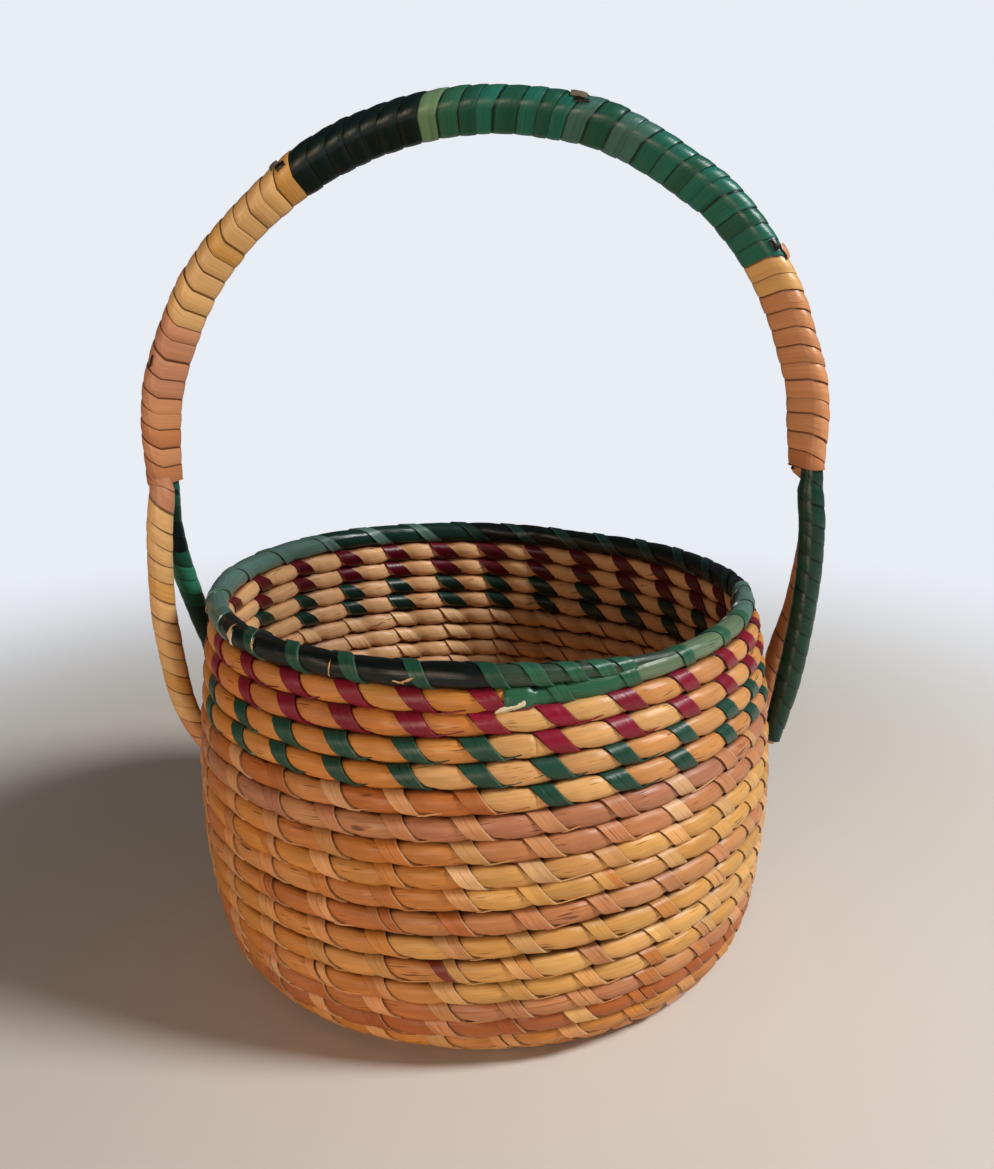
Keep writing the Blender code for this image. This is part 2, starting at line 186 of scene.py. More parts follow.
# The pull of the stitches sways the bundle: between two of them it lies aslant
SWAY_OUTSIDE = 0.00045
SWAY_INSIDE = 0.00085
SWAY_TURN = 0.17  # share of the way from one stitch to the next that lies under a strip
INSIDE_PINCH = 0.0005  # deeper than outside

# Handle, as in the part's source but for the lean and the bumps of the real one
ROD_RADIUS = 0.0041
ROD_GAP = 0.0006
ROD_LEVEL_STEP = 0.0060
ARCH_STAND_OFF = 0.0151
ARCH_RISE = 0.0641
ARCH_DROP = math.radians(6)
ARCH_LEFT_END = math.radians(184.8)  # where the arch's windings end and the legs' start
ARCH_RIGHT_END = math.radians(-2.4)
ARCH_SHIFT = 0.0004
ARCH_LEAN = 0.0044  # the top of the arch stands a little to the right
SEAT_GAP = 0.0003
FOOT_TURNS = 7.2
TIP_SHARE = 0.85
START_LEAN = 0.04
FOOT_LEAN = 0.45
REAR_SPLAY = 0.35
START_PULL_SHARE = 0.45
FOOT_PULL_SHARE = 0.36
LEG_SAMPLES = 100
ARCH_SAMPLES = 160
# The real arch is a little uneven: metres out from the part's round one, by degrees
ARCH_BUMPS = (
    (-6, 0.0012), (0, 0), (4, -0.0004), (12, 0.0001), (20, -0.0010), (28, -0.0004),
    (40, 0.0002), (48, 0.0007), (56, -0.0004), (64, 0), (72, 0.0009), (80, 0),
    (100, -0.0002), (108, -0.0004), (120, -0.0002), (131, -0.0008), (140, -0.0003),
    (150, 0.0006), (158, 0.0003), (168, 0.0010), (174, 0.0004), (180, -0.0004),
    (186, -0.0005),
)
# How much thicker than a single leaf its windings lie there
ARCH_PLUMP = (
    (-4, 0.0003), (2, 0.0002), (20, 0), (40, 0.0005), (56, 0.0008), (72, 0.0010),
    (122, 0.0009), (128, 0), (140, -0.0003), (166, -0.0001), (186, 0.0001),
)
# How far apart its two rods' levels are there, as a share of the part's
ARCH_LEVELS = ((-6, 0.35), (6, 1), (168, 1), (186, 0.5))
LEG_LEAD = math.radians(4)  # the legs' windings start this far inside the arch's ends
LEG_LEAD_STEPS = 8
LEAD_SHIFT_PACE = 1.6  # a leg's first shift is reached this much before the arch's end
ROUTE_REACH = 0.002  # a route's direction is read this far ahead and behind
PLUMP_START = 0.006  # a leg's leaf thickens from here down, outside the arch's end
# How far each real leg lies to the right of the part's curve, by the share of its length. Each
# leg is named by its rod, -1 in front and 1 behind, and its side, -1 at the left and 1 at the right
LEG_SHIFTS = {
    (-1, -1): (
        (0, 0.0004), (0.1, -0.0012), (0.2, -0.0014), (0.4, -0.0006), (0.53, 0.0007),
        (0.66, 0.0012), (0.8, 0.0008), (0.92, 0.0014), (1, 0.0028)),
    (1, -1): (
        (0, -0.0016), (0.1, -0.0030), (0.2, -0.0022), (0.35, -0.0002), (0.5, 0.0019),
        (0.65, 0.0035), (0.8, 0.0025), (1, 0.0010)),
    (-1, 1): (
        (0, 0.0007), (0.1, 0.0019), (0.25, 0.0010), (0.4, -0.0009), (0.55, -0.0024),
        (0.7, -0.0029), (0.85, -0.0021), (1, 0.0002)),
    (1, 1): (
        (0, 0.0052), (0.08, 0.0058), (0.18, 0.0064), (0.3, 0.0049), (0.45, 0.0027),
        (0.6, -0.0004), (0.7, -0.0016), (0.85, -0.0014), (1, 0)),
}
# How much thicker than a single leaf each leg's windings lie
LEG_PLUMP = {(-1, -1): 0.0008, (1, -1): 0.0002, (-1, 1): 0.0009, (1, 1): 0}
TIP_THINNING = 0.0012  # towards the tip the leaf is wound more tightly
TIP_THINNING_START = 0.035  # from the tip
FEET = {
    (-1, -1): math.radians(0),
    (-1, 1): math.radians(0),
    (1, -1): math.radians(18),
    (1, 1): math.radians(10),
}

# Windings of the handle
CORE_POINTS = 16
CORE_STEP = 0.003
CORE_TAPER = 0.012
CORE_RADIUS = 0.0037
CORE_EDGE = 0.0006
WIND_POINTS = 26  # in each loop
WIND_LINES = (0, 0.24, 0.29, 0.62, 0.95, 1, 1)
WIND_LIFTS = (0, 0.30, 0.60, 1, 0.85, 0.70, 0)  # share of the loop's own lift
WIND_SHADES = (0.8, 0.8, 0, 0, 0, 0, 1)  # painted shade: a thin dark line beside the next loop's edge, and full shade on the edge's underside
WIND_SLANT = (-0.36, -0.12)  # how far a loop's front leans along the rod, in pitches
WIND_REST = 0.00025  # from the rod to the leaf
WIND_OVERLAP = 1.24
WIND_LIFT = (0.00035, 0.0008)
CORNER_LIFT = 0.5
WIND_WANDER = 0.17  # of the pitch
ARCH_WIND_PITCH = 0.0075
LEG_WIND_PITCH = 0.0084
LEG_WIND_END = 0.985  # share of the leg
LEG_LIFT_SHARE = 0.55
ARCH_SEED = 5
LEG_SEED = 40
SEEDS_PER_LEG = 10

# Camera: the photograph's place and angle
PHOTO_HEIGHT = 1169
PHOTO_FOCUS = 1200  # in the photograph's pixels
SENSOR = 36
CAMERA_PLACE = (0.0055, -0.4995, 0.3034)
CAMERA_PITCH = math.radians(16.405)
CAMERA_ROLL = math.radians(-0.219)
CLIP_NEAR = 0.01

TONES = {
    "honey": "#C37E36",
    "pale honey": "#D2A366",
    "warm honey": "#C68B50",
    "tan": "#BE7434",
    "brown tan": "#B1652F",
    "rosy": "#AE7254",
    "straw": "#CF9B54",
    "bright straw": "#DCAA62",
    "rosy tan": "#BE7F54",
    "rust": "#A55725",
    "pale": "#DDB080",
    "cream": "#E8D9B8",
    "maroon": "#80142B",
    "brown maroon": "#7C2D20",
    "deep leaf": "#113629",
    "deep green": "#20493A",
    "rim black": "#070F0C",
    "rim grey green": "#56756C",
    "rim teal": "#14302B",
    "rim band": "#1F4C3A",
    "rim green": "#2B5E44",
    "rim olive": "#63775A",
    "rim olive dark": "#34483A",
    "night green": "#0A1D1C",
    "middle green": "#1E5443",
    "lime straw": "#6A8C66",
    "teal": "#216556",
    "yellow tan": "#D4A76E",
    "pinkish tan": "#BC8260",
    "orange tan": "#C3875C",
    "orange brown": "#B27248",
    "peach": "#D99D68",
    "lime green": "#2C614B",
    "bright green": "#2E7A5E",
    "grey teal": "#3D665D",
    "grey brown": "#6E6252",
    "cut end": "#C9A774",
    "shadow": "#1B0F09",
}

# Where each new length of sheath leaf starts, in turns from the rim down. The pale honey lengths
# of the top four rows, at the front right, are a painted highlight for the lamp's sheen there
SHEATH_LEAVES = (
    (-1.085, "rim olive dark"), (-0.985, "rim black"), (-0.825, "rim grey green"),
    (-0.66, "rim teal"), (-0.50, "rim black"), (-0.25, "rim grey green"), (-0.17, "rim olive"),
    (-0.055, "rim green"), (0.0145, "honey"), (0.42, "tan"), (0.80, "warm honey"),
    (0.925, "pale honey"),
    (1.02, "tan"), (1.42, "honey"), (1.80, "warm honey"), (1.915, "pale honey"),
    (2.02, "honey"), (2.80, "warm honey"), (2.92, "pale honey"),
    (3.03, "honey"), (3.78, "warm honey"), (3.93, "pale honey"),
    (4.00, "brown tan"), (4.75, "rosy"),
    (5.40, "honey"), (5.80, "rosy tan"),
    (6.02, "tan"), (6.75, "straw"),
    (7.03, "honey"), (7.80, "straw"),
    (8.02, "tan"), (8.75, "rosy tan"),
    (9.02, "brown tan"), (9.50, "honey"), (9.78, "straw"),
    (10.04, "honey"), (10.76, "bright straw"),
    (11.02, "honey"), (11.78, "straw"),
    (12.02, "tan"), (12.78, "rosy tan"),
    (13.03, "brown tan"), (13.75, "rust"),
    (14.45, "honey"),
    (15.30, "tan"),
    (16.10, "honey"),
    (17.20, "straw"),
    (18.30, "tan"),
    (19.60, "honey"),
    (21.00, "pale honey"),
    (22.80, "straw"),
    (24.60, "honey"),
)


def linear(channel):
    """One channel of an sRGB colour, from 0 to 1, as light."""
    if channel <= 0.04045:
        return channel / 12.92
    return ((channel + 0.055) / 1.055) ** 2.4


def paint(colour):
    """An sRGB hex colour as linear red, green, blue and alpha."""
    return tuple(linear(int(colour[i:i + 2], 16) / 255) for i in (1, 3, 5)) + (1,)


def shaded(name, share=1):
    """A tone, made lighter or darker."""
    return tuple(channel * share for channel in paint(TONES[name])[:3]) + (1,)


def between(table, at):
    """Reads a table of (place, value) pairs, with straight lines between them."""
    if at <= table[0][0]:
        return table[0][1]
    for (low, first), (high, second) in zip(table, table[1:]):
        if at <= high:
            return first + (second - first) * (at - low) / (high - low)
    return table[-1][1]


def ease(share):
    share = min(max(share, 0), 1)
    return share * share * (3 - 2 * share)


def azimuth_degrees(turn):
    """Where a turn lies round the basket, from -180 to 180."""
    return (math.degrees(RIM_START_AZIMUTH - turn * math.tau) + 180) % 360 - 180


class Coil:
    """The bundle's route, read at any number of turns below the rim's start."""

    def __init__(self):
        step = 1 / ROUTE_STEPS
        upper = self.walk(-step, lambda turn, radius: turn > -RIM_TURNS - step)
        lower = self.walk(step, lambda turn, radius: radius > CENTRE_RADIUS)
        self.rows = upper[:0:-1] + lower
        self.first = self.rows[0][0]
        self.last = self.rows[-1][0]
        self.floor = self.rows[-1][2] - COIL_FLAT

    def walk(self, step, goes_on):
        rows = []
        turn, radius, height = 0, RIM_RADIUS, 0
        while goes_on(turn, radius):
            rows.append((turn, radius, height))
            lean = math.radians(between(WALL_LEAN, turn + step / 2))
            radius -= COIL_PITCH * step * math.sin(lean)
            height -= COIL_PITCH * step * math.cos(lean)
            turn += step
        return rows

    def profile(self, turn):
        place = (turn - self.first) * ROUTE_STEPS
        low = min(max(int(place), 0), len(self.rows) - 2)
        share = min(max(place - low, 0), 1)
        _, r0, h0 = self.rows[low]
        _, r1, h1 = self.rows[low + 1]
        return r0 + (r1 - r0) * share, h0 + (h1 - h0) * share - self.floor

    def lean(self, turn):
        return between(WALL_LEAN, turn - self.climb(turn))

    def azimuth(self, turn):
        return RIM_START_AZIMUTH - turn * math.tau

    def climb(self, turn):
        if turn < 0:
            return between(RIM_CLIMB, turn) - between(ROW_SAG, turn)
        climb = between(ROW_CLIMB, azimuth_degrees(turn)) * between(ROW_CLIMB_SHARE, turn)
        return climb - between(ROW_SAG, turn)

    def size(self, turn):
        """Share of full thickness: the rim's two ends are thinner."""
        tail = RIM_TIP_SHARE + (1 - RIM_TIP_SHARE) * min((turn + RIM_TURNS) / RIM_TAPER_TURNS, 1)
        return tail * between(RIM_SIZE, turn) if turn < 0 else 1

    def frame(self, turn):
        """Middle of the bundle, and the directions out of the wall and up along it."""
        climbed = turn - self.climb(turn)
        radius, height = self.profile(climbed)
        lean = math.radians(between(WALL_LEAN, climbed))
        if turn < 0:
            radius -= between(RIM_PULL, turn)
        azimuth = self.azimuth(turn)
        radial = Vector((math.cos(azimuth), math.sin(azimuth), 0))
        upright = Vector((0, 0, 1))
        out = radial * math.cos(lean) - upright * math.sin(lean)
        up = radial * math.sin(lean) + upright * math.cos(lean)
        middle = radial * radius + upright * height
        along = turn * math.tau * radius / WOBBLE_LENGTH
        calm = math.cos(lean)  # the base lies still
        middle += out * noise.noise(Vector((along, turn, WOBBLE_OUT_SLICE))) * WOBBLE_OUT * calm
        middle += up * noise.noise(Vector((along, turn, WOBBLE_UP_SLICE))) * WOBBLE_UP
        if turn < 0:
            middle -= up * COIL_RADIUS * (1 - min(self.size(turn) / between(RIM_SIZE, turn), 1))
        depth = SHEATH_DEPTH + (BASE_DEPTH - SHEATH_DEPTH) * ease(1 - calm)
        return middle, out, up, radius, depth

    def surface(self, turn, around, lift, stitching, frame=None):
        """A point of the sheath, at degrees from the bundle's top over the outside."""
        middle, out, up, radius, depth = frame or self.frame(turn)
        if turn > 0:
            _, share, _ = stitching.locate(turn, around, radius)
            middle = middle + up * sway(around, share) * math.cos(math.radians(self.lean(turn)))
        size = self.size(turn)
        side = math.sin(math.radians(around))
        rise = math.cos(math.radians(around))
        reach = math.copysign(abs(side) ** SHEATH_ROUNDNESS, side) * (depth * size + lift)
        level = math.copysign(abs(rise) ** SHEATH_ROUNDNESS, rise) * (SHEATH_HEIGHT * size + lift)
        return middle + out * reach + up * level

    def turns_along(self, upper, lower, spacing):
        """Turns at an even spacing along the bundle, first and last included."""
        turns = [upper]
        while turns[-1] < lower:
            radius, _ = self.profile(turns[-1])
            turns.append(turns[-1] + spacing / (math.tau * radius))
        stretch = (lower - upper) / (turns[-1] - upper)
        return [upper + (turn - upper) * stretch for turn in turns]


COIL = Coil()


class Stitching:
    """Where the strips that bind the bundle pass, and how they lie round it."""

    def __init__(self, turns, path, width, stops):
        self.turns = turns
        self.path = path
        self.width = width
        self.stops = stops

    def locate(self, turn, around, radius):
        """The strip after a place, the place's share of the way to it, and the way's length."""
        here = around if around <= self.stops[-1] else around - 360
        aimed = turn + between(self.path, here) / (math.tau * radius)
        after = min(max(bisect_left(self.turns, aimed), 1), len(self.turns) - 1)
        first, second = self.turns[after - 1], self.turns[after]
        return after, (aimed - first) / (second - first), (second - first) * math.tau * radius


def inside_share(around):
    """How far a place round the bundle looks into the basket, from 0 to 1."""
    return max(0, -math.sin(math.radians(around)))


def sway(around, share):
    """How far the bundle's side is pulled up or down, between two strips."""
    side = math.sin(math.radians(around))
    share = min(max(share, 0), 1)
    if share < SWAY_TURN:
        slope = share / SWAY_TURN
    elif share > 1 - SWAY_TURN:
        slope = (share - 1) / SWAY_TURN
    else:
        slope = (1 - 2 * share) / (1 - 2 * SWAY_TURN)
    return side * slope * (SWAY_OUTSIDE if side > 0 else SWAY_INSIDE)


def stitch_columns():
    """Turns of the wall's strips and the rim's, spaced by azimuth as the weaver spaced them."""
    per_turn = sum(
        360 * COLUMN_STEP / between(STITCH_SPACING, azimuth_degrees(index * COLUMN_STEP))
        for index in range(round(1 / COLUMN_STEP)))
    turn, count = -RIM_TURNS, 0
    counts = []
    while turn < BASE_TURNS:
        counts.append((count, turn))
        spacing = between(STITCH_SPACING, azimuth_degrees(turn)) * per_turn / STITCHES_PER_TURN
        count += 360 * COLUMN_STEP / spacing
        turn += COLUMN_STEP
    by_turn = [(turn, count) for count, turn in counts]
    first = between(by_turn, FIRST_STITCH) % 1
    return [between_steps(counts, first + index) for index in range(int(count - first) + 1)]


def between_steps(table, at):
    """As between, for a long table of even steps."""
    place = min(max(bisect_left(table, (at,)), 1), len(table) - 1)
    (low, first), (high, second) = table[place - 1], table[place]
    return first + (second - first) * (at - low) / (high - low)


COLUMNS = stitch_columns()


def wall_stitch_turns():
    """The columns of the wall, then strips spaced by length in the base."""
    turns = [turn for turn in COLUMNS if turn > 0]
    turn = turns[-1]
    while turn < COIL.last:
        radius, _ = COIL.profile(turn)
        share = ease(radius / RIM_RADIUS * BASE_SPACING_PACE)
        spacing = CENTRE_STITCH_SPACING + (BASE_STITCH_SPACING - CENTRE_STITCH_SPACING) * share
        turn += spacing / (math.tau * radius)
        turns.append(turn)
    return turns[:-1]


def rim_band_turns():
    even = [turn for turn in COLUMNS if FIRST_RIM_BAND < turn < LAST_RIM_BAND]
    return list(TAIL_BANDS) + even + [RIM_END]


WALL_STITCHES = Stitching(wall_stitch_turns(), STITCH_PATH, STITCH_WIDTH, STITCH_STOPS)
RIM_BANDS = Stitching(rim_band_turns(), BAND_PATH, BAND_WIDTH, BAND_STOPS)


def new_leaf_mesh():
    mesh = bmesh.new()
    mesh.loops.layers.uv.new("leaf")
    mesh.verts.layers.float_color.new("tone")
    mesh.verts.layers.float.new("shade")
    return mesh


def lay_leaf(mesh, across, along, spot, middle_of=None):
    """Adds a grid of leaf. spot(u, v) gives each corner's place, pattern place, tone and shade."""
    made = bmesh.ops.create_grid(mesh, x_segments=across, y_segments=along, size=1)
    pattern = mesh.loops.layers.uv["leaf"]
    tone = mesh.verts.layers.float_color["tone"]
    shade = mesh.verts.layers.float["shade"]
    faces = {}
    for vertex in made["verts"]:
        u = round((vertex.co.x + 1) / 2 * across)
        v = round((vertex.co.y + 1) / 2 * along)
        place, print_place, colour, dark = spot(u, v)
        vertex.co = place
        vertex[tone] = colour
        vertex[shade] = dark
        for loop in vertex.link_loops:
            loop[pattern].uv = print_place
        for face in vertex.link_faces:
            faces[face] = True
    if middle_of:
        turn_outwards(mesh, list(faces), middle_of)


def turn_outwards(mesh, faces, middle_of):
    """Turns the faces of one strip round where they look at the middle of what they wrap."""
    face = faces[len(faces) // 2]
    face.normal_update()
    if face.normal.dot(face.calc_center_median() - middle_of) < 0:
        bmesh.ops.reverse_faces(mesh, faces=faces)


def close_tube(mesh):
    """Merges the seam, caps both ends and points every face outwards."""
    bmesh.ops.remove_doubles(mesh, verts=mesh.verts, dist=SLACK)
    ends = [edge for edge in mesh.edges if edge.is_boundary]
    bmesh.ops.holes_fill(mesh, edges=ends, sides=0)
    bmesh.ops.recalc_face_normals(mesh, faces=mesh.faces)


def make_piece(name, node, mesh, material, crisp=False):
    """Turns a mesh into a piece that stands for a node, in the given material."""
    data = bpy.data.meshes.new(name)
    mesh.to_mesh(data)
    mesh.free()
    data.materials.append(material)
    data.shade_smooth()
    if crisp:
        data.set_sharp_from_angle(angle=CRISP_ANGLE)
    piece = bpy.data.objects.new(name, data)
    bpy.context.scene.collection.objects.link(piece)
    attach(piece, "root")
    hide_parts(node)


def add_node(tree, kind, inputs, output=0, **settings):
    """Adds a shader node and gives one of its outputs. An input is a value or such an output."""
    node = tree.nodes.new("ShaderNode" + kind)
    for name, value in settings.items():
        setattr(node, name, value)
    for socket, value in inputs.items():
        if isinstance(value, bpy.types.NodeSocket):
            tree.links.new(value, node.inputs[socket])
        else:
            node.inputs[socket].default_value = value
    return node.outputs[output]


# Patterns of the leaf: width across the strip and length along it in metres, then the
# noise's detail and roughness. Real veins are half as wide, too fine for the render
VEINS = (0.0008, 0.030, 3, 0.65)
MOTTLE = (0.005, 0.022, 2, 0.5)
SPLITS = (0.0005, 0.009, 1, 0.5)
RANGE = ("Value", "From Min", "From Max", "To Min", "To Max")
NOISE_SPREAD = (0.3, 0.7)  # the noise seldom leaves these two
VEIN_GLINT = 0.5  # a pale vein against a dark one
MOTTLE_LIGHT = (0.88, 1.10)
CRACK_START = (1.20, 1.32)  # the sum of two noises where a dark crack starts, and where it is full
SPLIT_LINE = (0.012, 0.035)  # share of the strip's width, from its middle
SPLIT_START = (0.44, 0.52)  # the mottle where a long split starts, and where it is full
PALE_LIT_EDGE = (0.89, 0.94)  # share of the strip's width: the painted highlight, in the pale colour of a dry edge, lies along the right edge only
# painted shade: a thin dark line along the strip's left edge, as a share of its width
SHADED_EDGE = (0.035, 0.085)
PALE_EDGE_HIGHLIGHT = 0.4
EDGE_SHADE = 0.85
VEIN_BUMP = 0.6
VEIN_RELIEF = 0.00022
MOTTLE_BUMP = 0.5
MOTTLE_RELIEF = 0.0005
ROUGHER = 0.08  # where the mottle is dark
SMOOTHER = 0.06  # where it is light
LEAF_IOR = 1.45
LEAF_GLOSS = 0.4
MIX = {"Factor": 0, "A": 6, "B": 7, "Result": 2}  # the colour sockets of a Mix node


def leaf_material(name, width, dark, roughness, grain, cracks, edge=None, split=0):
    """A strip of split leaf. Its tone comes from the piece, its veins run along the strip.

    width is the strip's own in metres, as the pattern's first place is a share of it.
    dark is the colour of the cracks and of the painted shade in the grooves and along the strips' edges;
    edge is the pale colour of the thin dry edges, painted as a highlight along the right edge only.
    grain, cracks and split are how much the veins, the dark cracks and the strip's long
    split show.
    """
    material = bpy.data.materials.new(name)
    material.use_nodes = True
    tree = material.node_tree
    shader = tree.nodes["Principled BSDF"]
    pattern = add_node(tree, "UVMap", {}, uv_map="leaf")
    tone = add_node(tree, "Attribute", {}, "Color", attribute_name="tone")
    shade = add_node(tree, "Attribute", {}, "Fac", attribute_name="shade")
    noises = []
    for pattern_width, pattern_length, detail, rough in (VEINS, MOTTLE, SPLITS):
        stretched = add_node(tree, "Mapping", {
            "Vector": pattern, "Scale": (width / pattern_width, 1 / pattern_length, 1),
        })
        noises.append(add_node(tree, "TexNoise", {
            "Vector": stretched, "Scale": 1, "Detail": detail, "Roughness": rough,
        }))
    veins, mottle, splits = noises

    vein_light = add_node(tree, "MapRange", dict(zip(RANGE, (
        veins, *NOISE_SPREAD, 1 - grain, 1 + grain * VEIN_GLINT))))
    mottle_light = add_node(tree, "MapRange", dict(zip(RANGE, (mottle, *NOISE_SPREAD, *MOTTLE_LIGHT))))
    light = add_node(tree, "Math", {0: vein_light, 1: mottle_light}, operation="MULTIPLY")
    colour = add_node(tree, "VectorMath", {0: tone, "Scale": light}, operation="SCALE")

    crack_places = add_node(tree, "Math", {0: splits, 1: mottle}, operation="ADD")
    dark_marks = add_node(tree, "MapRange", dict(zip(RANGE, (crack_places, *CRACK_START, 0, cracks))))
    across = add_node(tree, "SeparateXYZ", {0: pattern})
    if split:
        off_middle = add_node(tree, "Math", {0: across, 1: 0.5}, operation="SUBTRACT")
        off_middle = add_node(tree, "Math", {0: off_middle}, operation="ABSOLUTE")
        line = add_node(tree, "MapRange", dict(zip(RANGE, (off_middle, *SPLIT_LINE, split, 0))))
        broken = add_node(tree, "MapRange", dict(zip(RANGE, (mottle, *SPLIT_START, 0, 1))))
        line = add_node(tree, "Math", {0: line, 1: broken}, operation="MULTIPLY")
        dark_marks = add_node(tree, "Math", {0: dark_marks, 1: line}, operation="MAXIMUM")
    # Painted highlight along the strip's right edge, in the pale edge colour
    if edge:
        pale = add_node(tree, "MapRange", dict(zip(RANGE, (across, *PALE_LIT_EDGE, 0, PALE_EDGE_HIGHLIGHT))))
        # Painted shade: a thin dark line along the left edge, joined to the cracks
        left_edge_shade = add_node(tree, "MapRange", dict(zip(RANGE, (across, *SHADED_EDGE, EDGE_SHADE, 0))))
        dark_marks = add_node(tree, "Math", {0: dark_marks, 1: left_edge_shade}, operation="MAXIMUM")
        colour = add_node(tree, "Mix", {
            MIX["Factor"]: pale, MIX["A"]: colour, MIX["B"]: paint(edge),
        }, MIX["Result"], data_type="RGBA")
    # Painted shade from the mesh's shade attribute darkens the colour towards dark, as the cracks do
    marks_and_shade = add_node(tree, "Math", {0: dark_marks, 1: shade}, operation="MAXIMUM", use_clamp=True)
    colour = add_node(tree, "Mix", {
        MIX["Factor"]: marks_and_shade, MIX["A"]: colour, MIX["B"]: paint(dark),
    }, MIX["Result"], data_type="RGBA")
    tree.links.new(colour, shader.inputs["Base Color"])

    fine = add_node(tree, "Bump", {"Height": veins, "Strength": VEIN_BUMP, "Distance": VEIN_RELIEF})
    relief = add_node(tree, "Bump", {
        "Height": mottle, "Strength": MOTTLE_BUMP, "Distance": MOTTLE_RELIEF, "Normal": fine,
    })
    tree.links.new(relief, shader.inputs["Normal"])
    dull = add_node(tree, "MapRange", dict(zip(RANGE, (
        mottle, *NOISE_SPREAD, roughness + ROUGHER, roughness - SMOOTHER))))
    tree.links.new(dull, shader.inputs["Roughness"])
    shader.inputs["IOR"].default_value = LEAF_IOR
    shader.inputs["Specular IOR Level"].default_value = LEAF_GLOSS
    return material


SHEATH_AROUND = 0.0285  # round the bundle
STRIP_WIDTH = 0.0082
SHADOW_BROWN = "#3A150A"
SHADOW_GREEN = "#060D0A"
SHADOW_MAROON = "#2A070E"

# Rush leaf, split, dried and laid flat along the bundle: warm straw, satin, fine veins
NATURAL_SHEATH = leaf_material(
    "natural rush leaf laid flat", SHEATH_AROUND, SHADOW_BROWN, roughness=0.40, grain=0.16, cracks=0.75)
# The same leaf twisted round the bundle as a stitch: its right edge carries a painted highlight in the
# pale colour of its dry edge
NATURAL_STRIP = leaf_material(
    "natural rush leaf wound as stitch", STRIP_WIDTH, SHADOW_BROWN, roughness=0.40, grain=0.14, cracks=0.5,
    edge="#E3BE90", split=0.35)
# Rush leaf soaked in green dye: the wax takes less dye, so the veins and edges stay pale; along the right
# edge that paleness is painted as a highlight
GREEN_STRIP = leaf_material(
    "green dyed rush leaf strip", STRIP_WIDTH, SHADOW_GREEN, roughness=0.32, grain=0.30, cracks=0.3,
    edge="#5F7F6A", split=0.7)
# Rush leaf soaked in maroon dye: deep, slightly uneven, with a satin gloss
MAROON_STRIP = leaf_material(
    "maroon dyed rush leaf strip", STRIP_WIDTH, SHADOW_MAROON, roughness=0.32, grain=0.22, cracks=0.3,
    edge="#9A3548", split=0.3)
# Green dyed leaf laid flat along the rim, polished by hands: near black with a clear gloss
GREEN_SHEATH = leaf_material(
    "green dyed rush leaf laid flat", SHEATH_AROUND, SHADOW_GREEN, roughness=0.30, grain=0.22, cracks=0.5)
# Natural leaf wound round the handle: overlapping loops, glossy where they are gripped
NATURAL_WIND = leaf_material(
    "natural rush leaf wound on rods", STRIP_WIDTH, SHADOW_BROWN, roughness=0.36, grain=0.12, cracks=0.35)
# Green dyed leaf wound round the handle: dark and waxy, with veins that took less dye
GREEN_WIND = leaf_material(
    "green dyed rush leaf wound on rods", STRIP_WIDTH, SHADOW_GREEN, roughness=0.33, grain=0.28,
    cracks=0.25)
# Peeled round cane, cut square: dry and fibrous
CANE = leaf_material(
    "peeled cane cut square", SHEATH_AROUND, SHADOW_BROWN, roughness=0.6, grain=0.3, cracks=0.8)

GROOVE_SHADE = 0.92
GROOVE_START = 0.74
TONE_JITTER = 0.07
STRIP_TONE_JITTER = 0.13
PALE_INSIDE = paint("#EBBE8C")  # the inside, never handled, kept its pale colour
INSIDE_PALENESS = 0.8
STRAY_TONES = ("honey", "tan", "rosy tan", "straw", "pale honey", "rosy")
LEAF_BLEND = 0.35  # the most that one leaf's tone leans towards the next one's
LEAF_STARTS = [start for start, _ in SHEATH_LEAVES]


def leaf_tone(turn):
    """The name of the tone of the sheath's leaf there."""
    return SHEATH_LEAVES[max(bisect_left(LEAF_STARTS, turn + SLACK) - 1, 0)][1]


def mixed(first, second, share):
    """A colour on the way from one to another."""
    return tuple(a + (b - a) * share for a, b in zip(first, second))


def span_tone(turn, spans, after, stitching):
    """The leaf's tone between two strips, each span a little its own."""
    if after not in spans:
        start = stitching.turns[after - 1]
        light = 1 + chance.uniform(-TONE_JITTER, TONE_JITTER)
        own = shaded(leaf_tone(start), light)
        other = shaded(chance.choice(STRAY_TONES), light) if turn > 0 else own
        spans[after] = mixed(own, other, chance.uniform(0, LEAF_BLEND))
    return spans[after]


def groove_shade(around, turn=0):
    """Dirt and shadow gather where two rows meet, and the rim's top meets none."""
    rise = math.cos(math.radians(around))
    if turn < 0 and rise > 0:
        return 0
    return GROOVE_SHADE * ease((abs(rise) - GROOVE_START) / (1 - GROOVE_START))


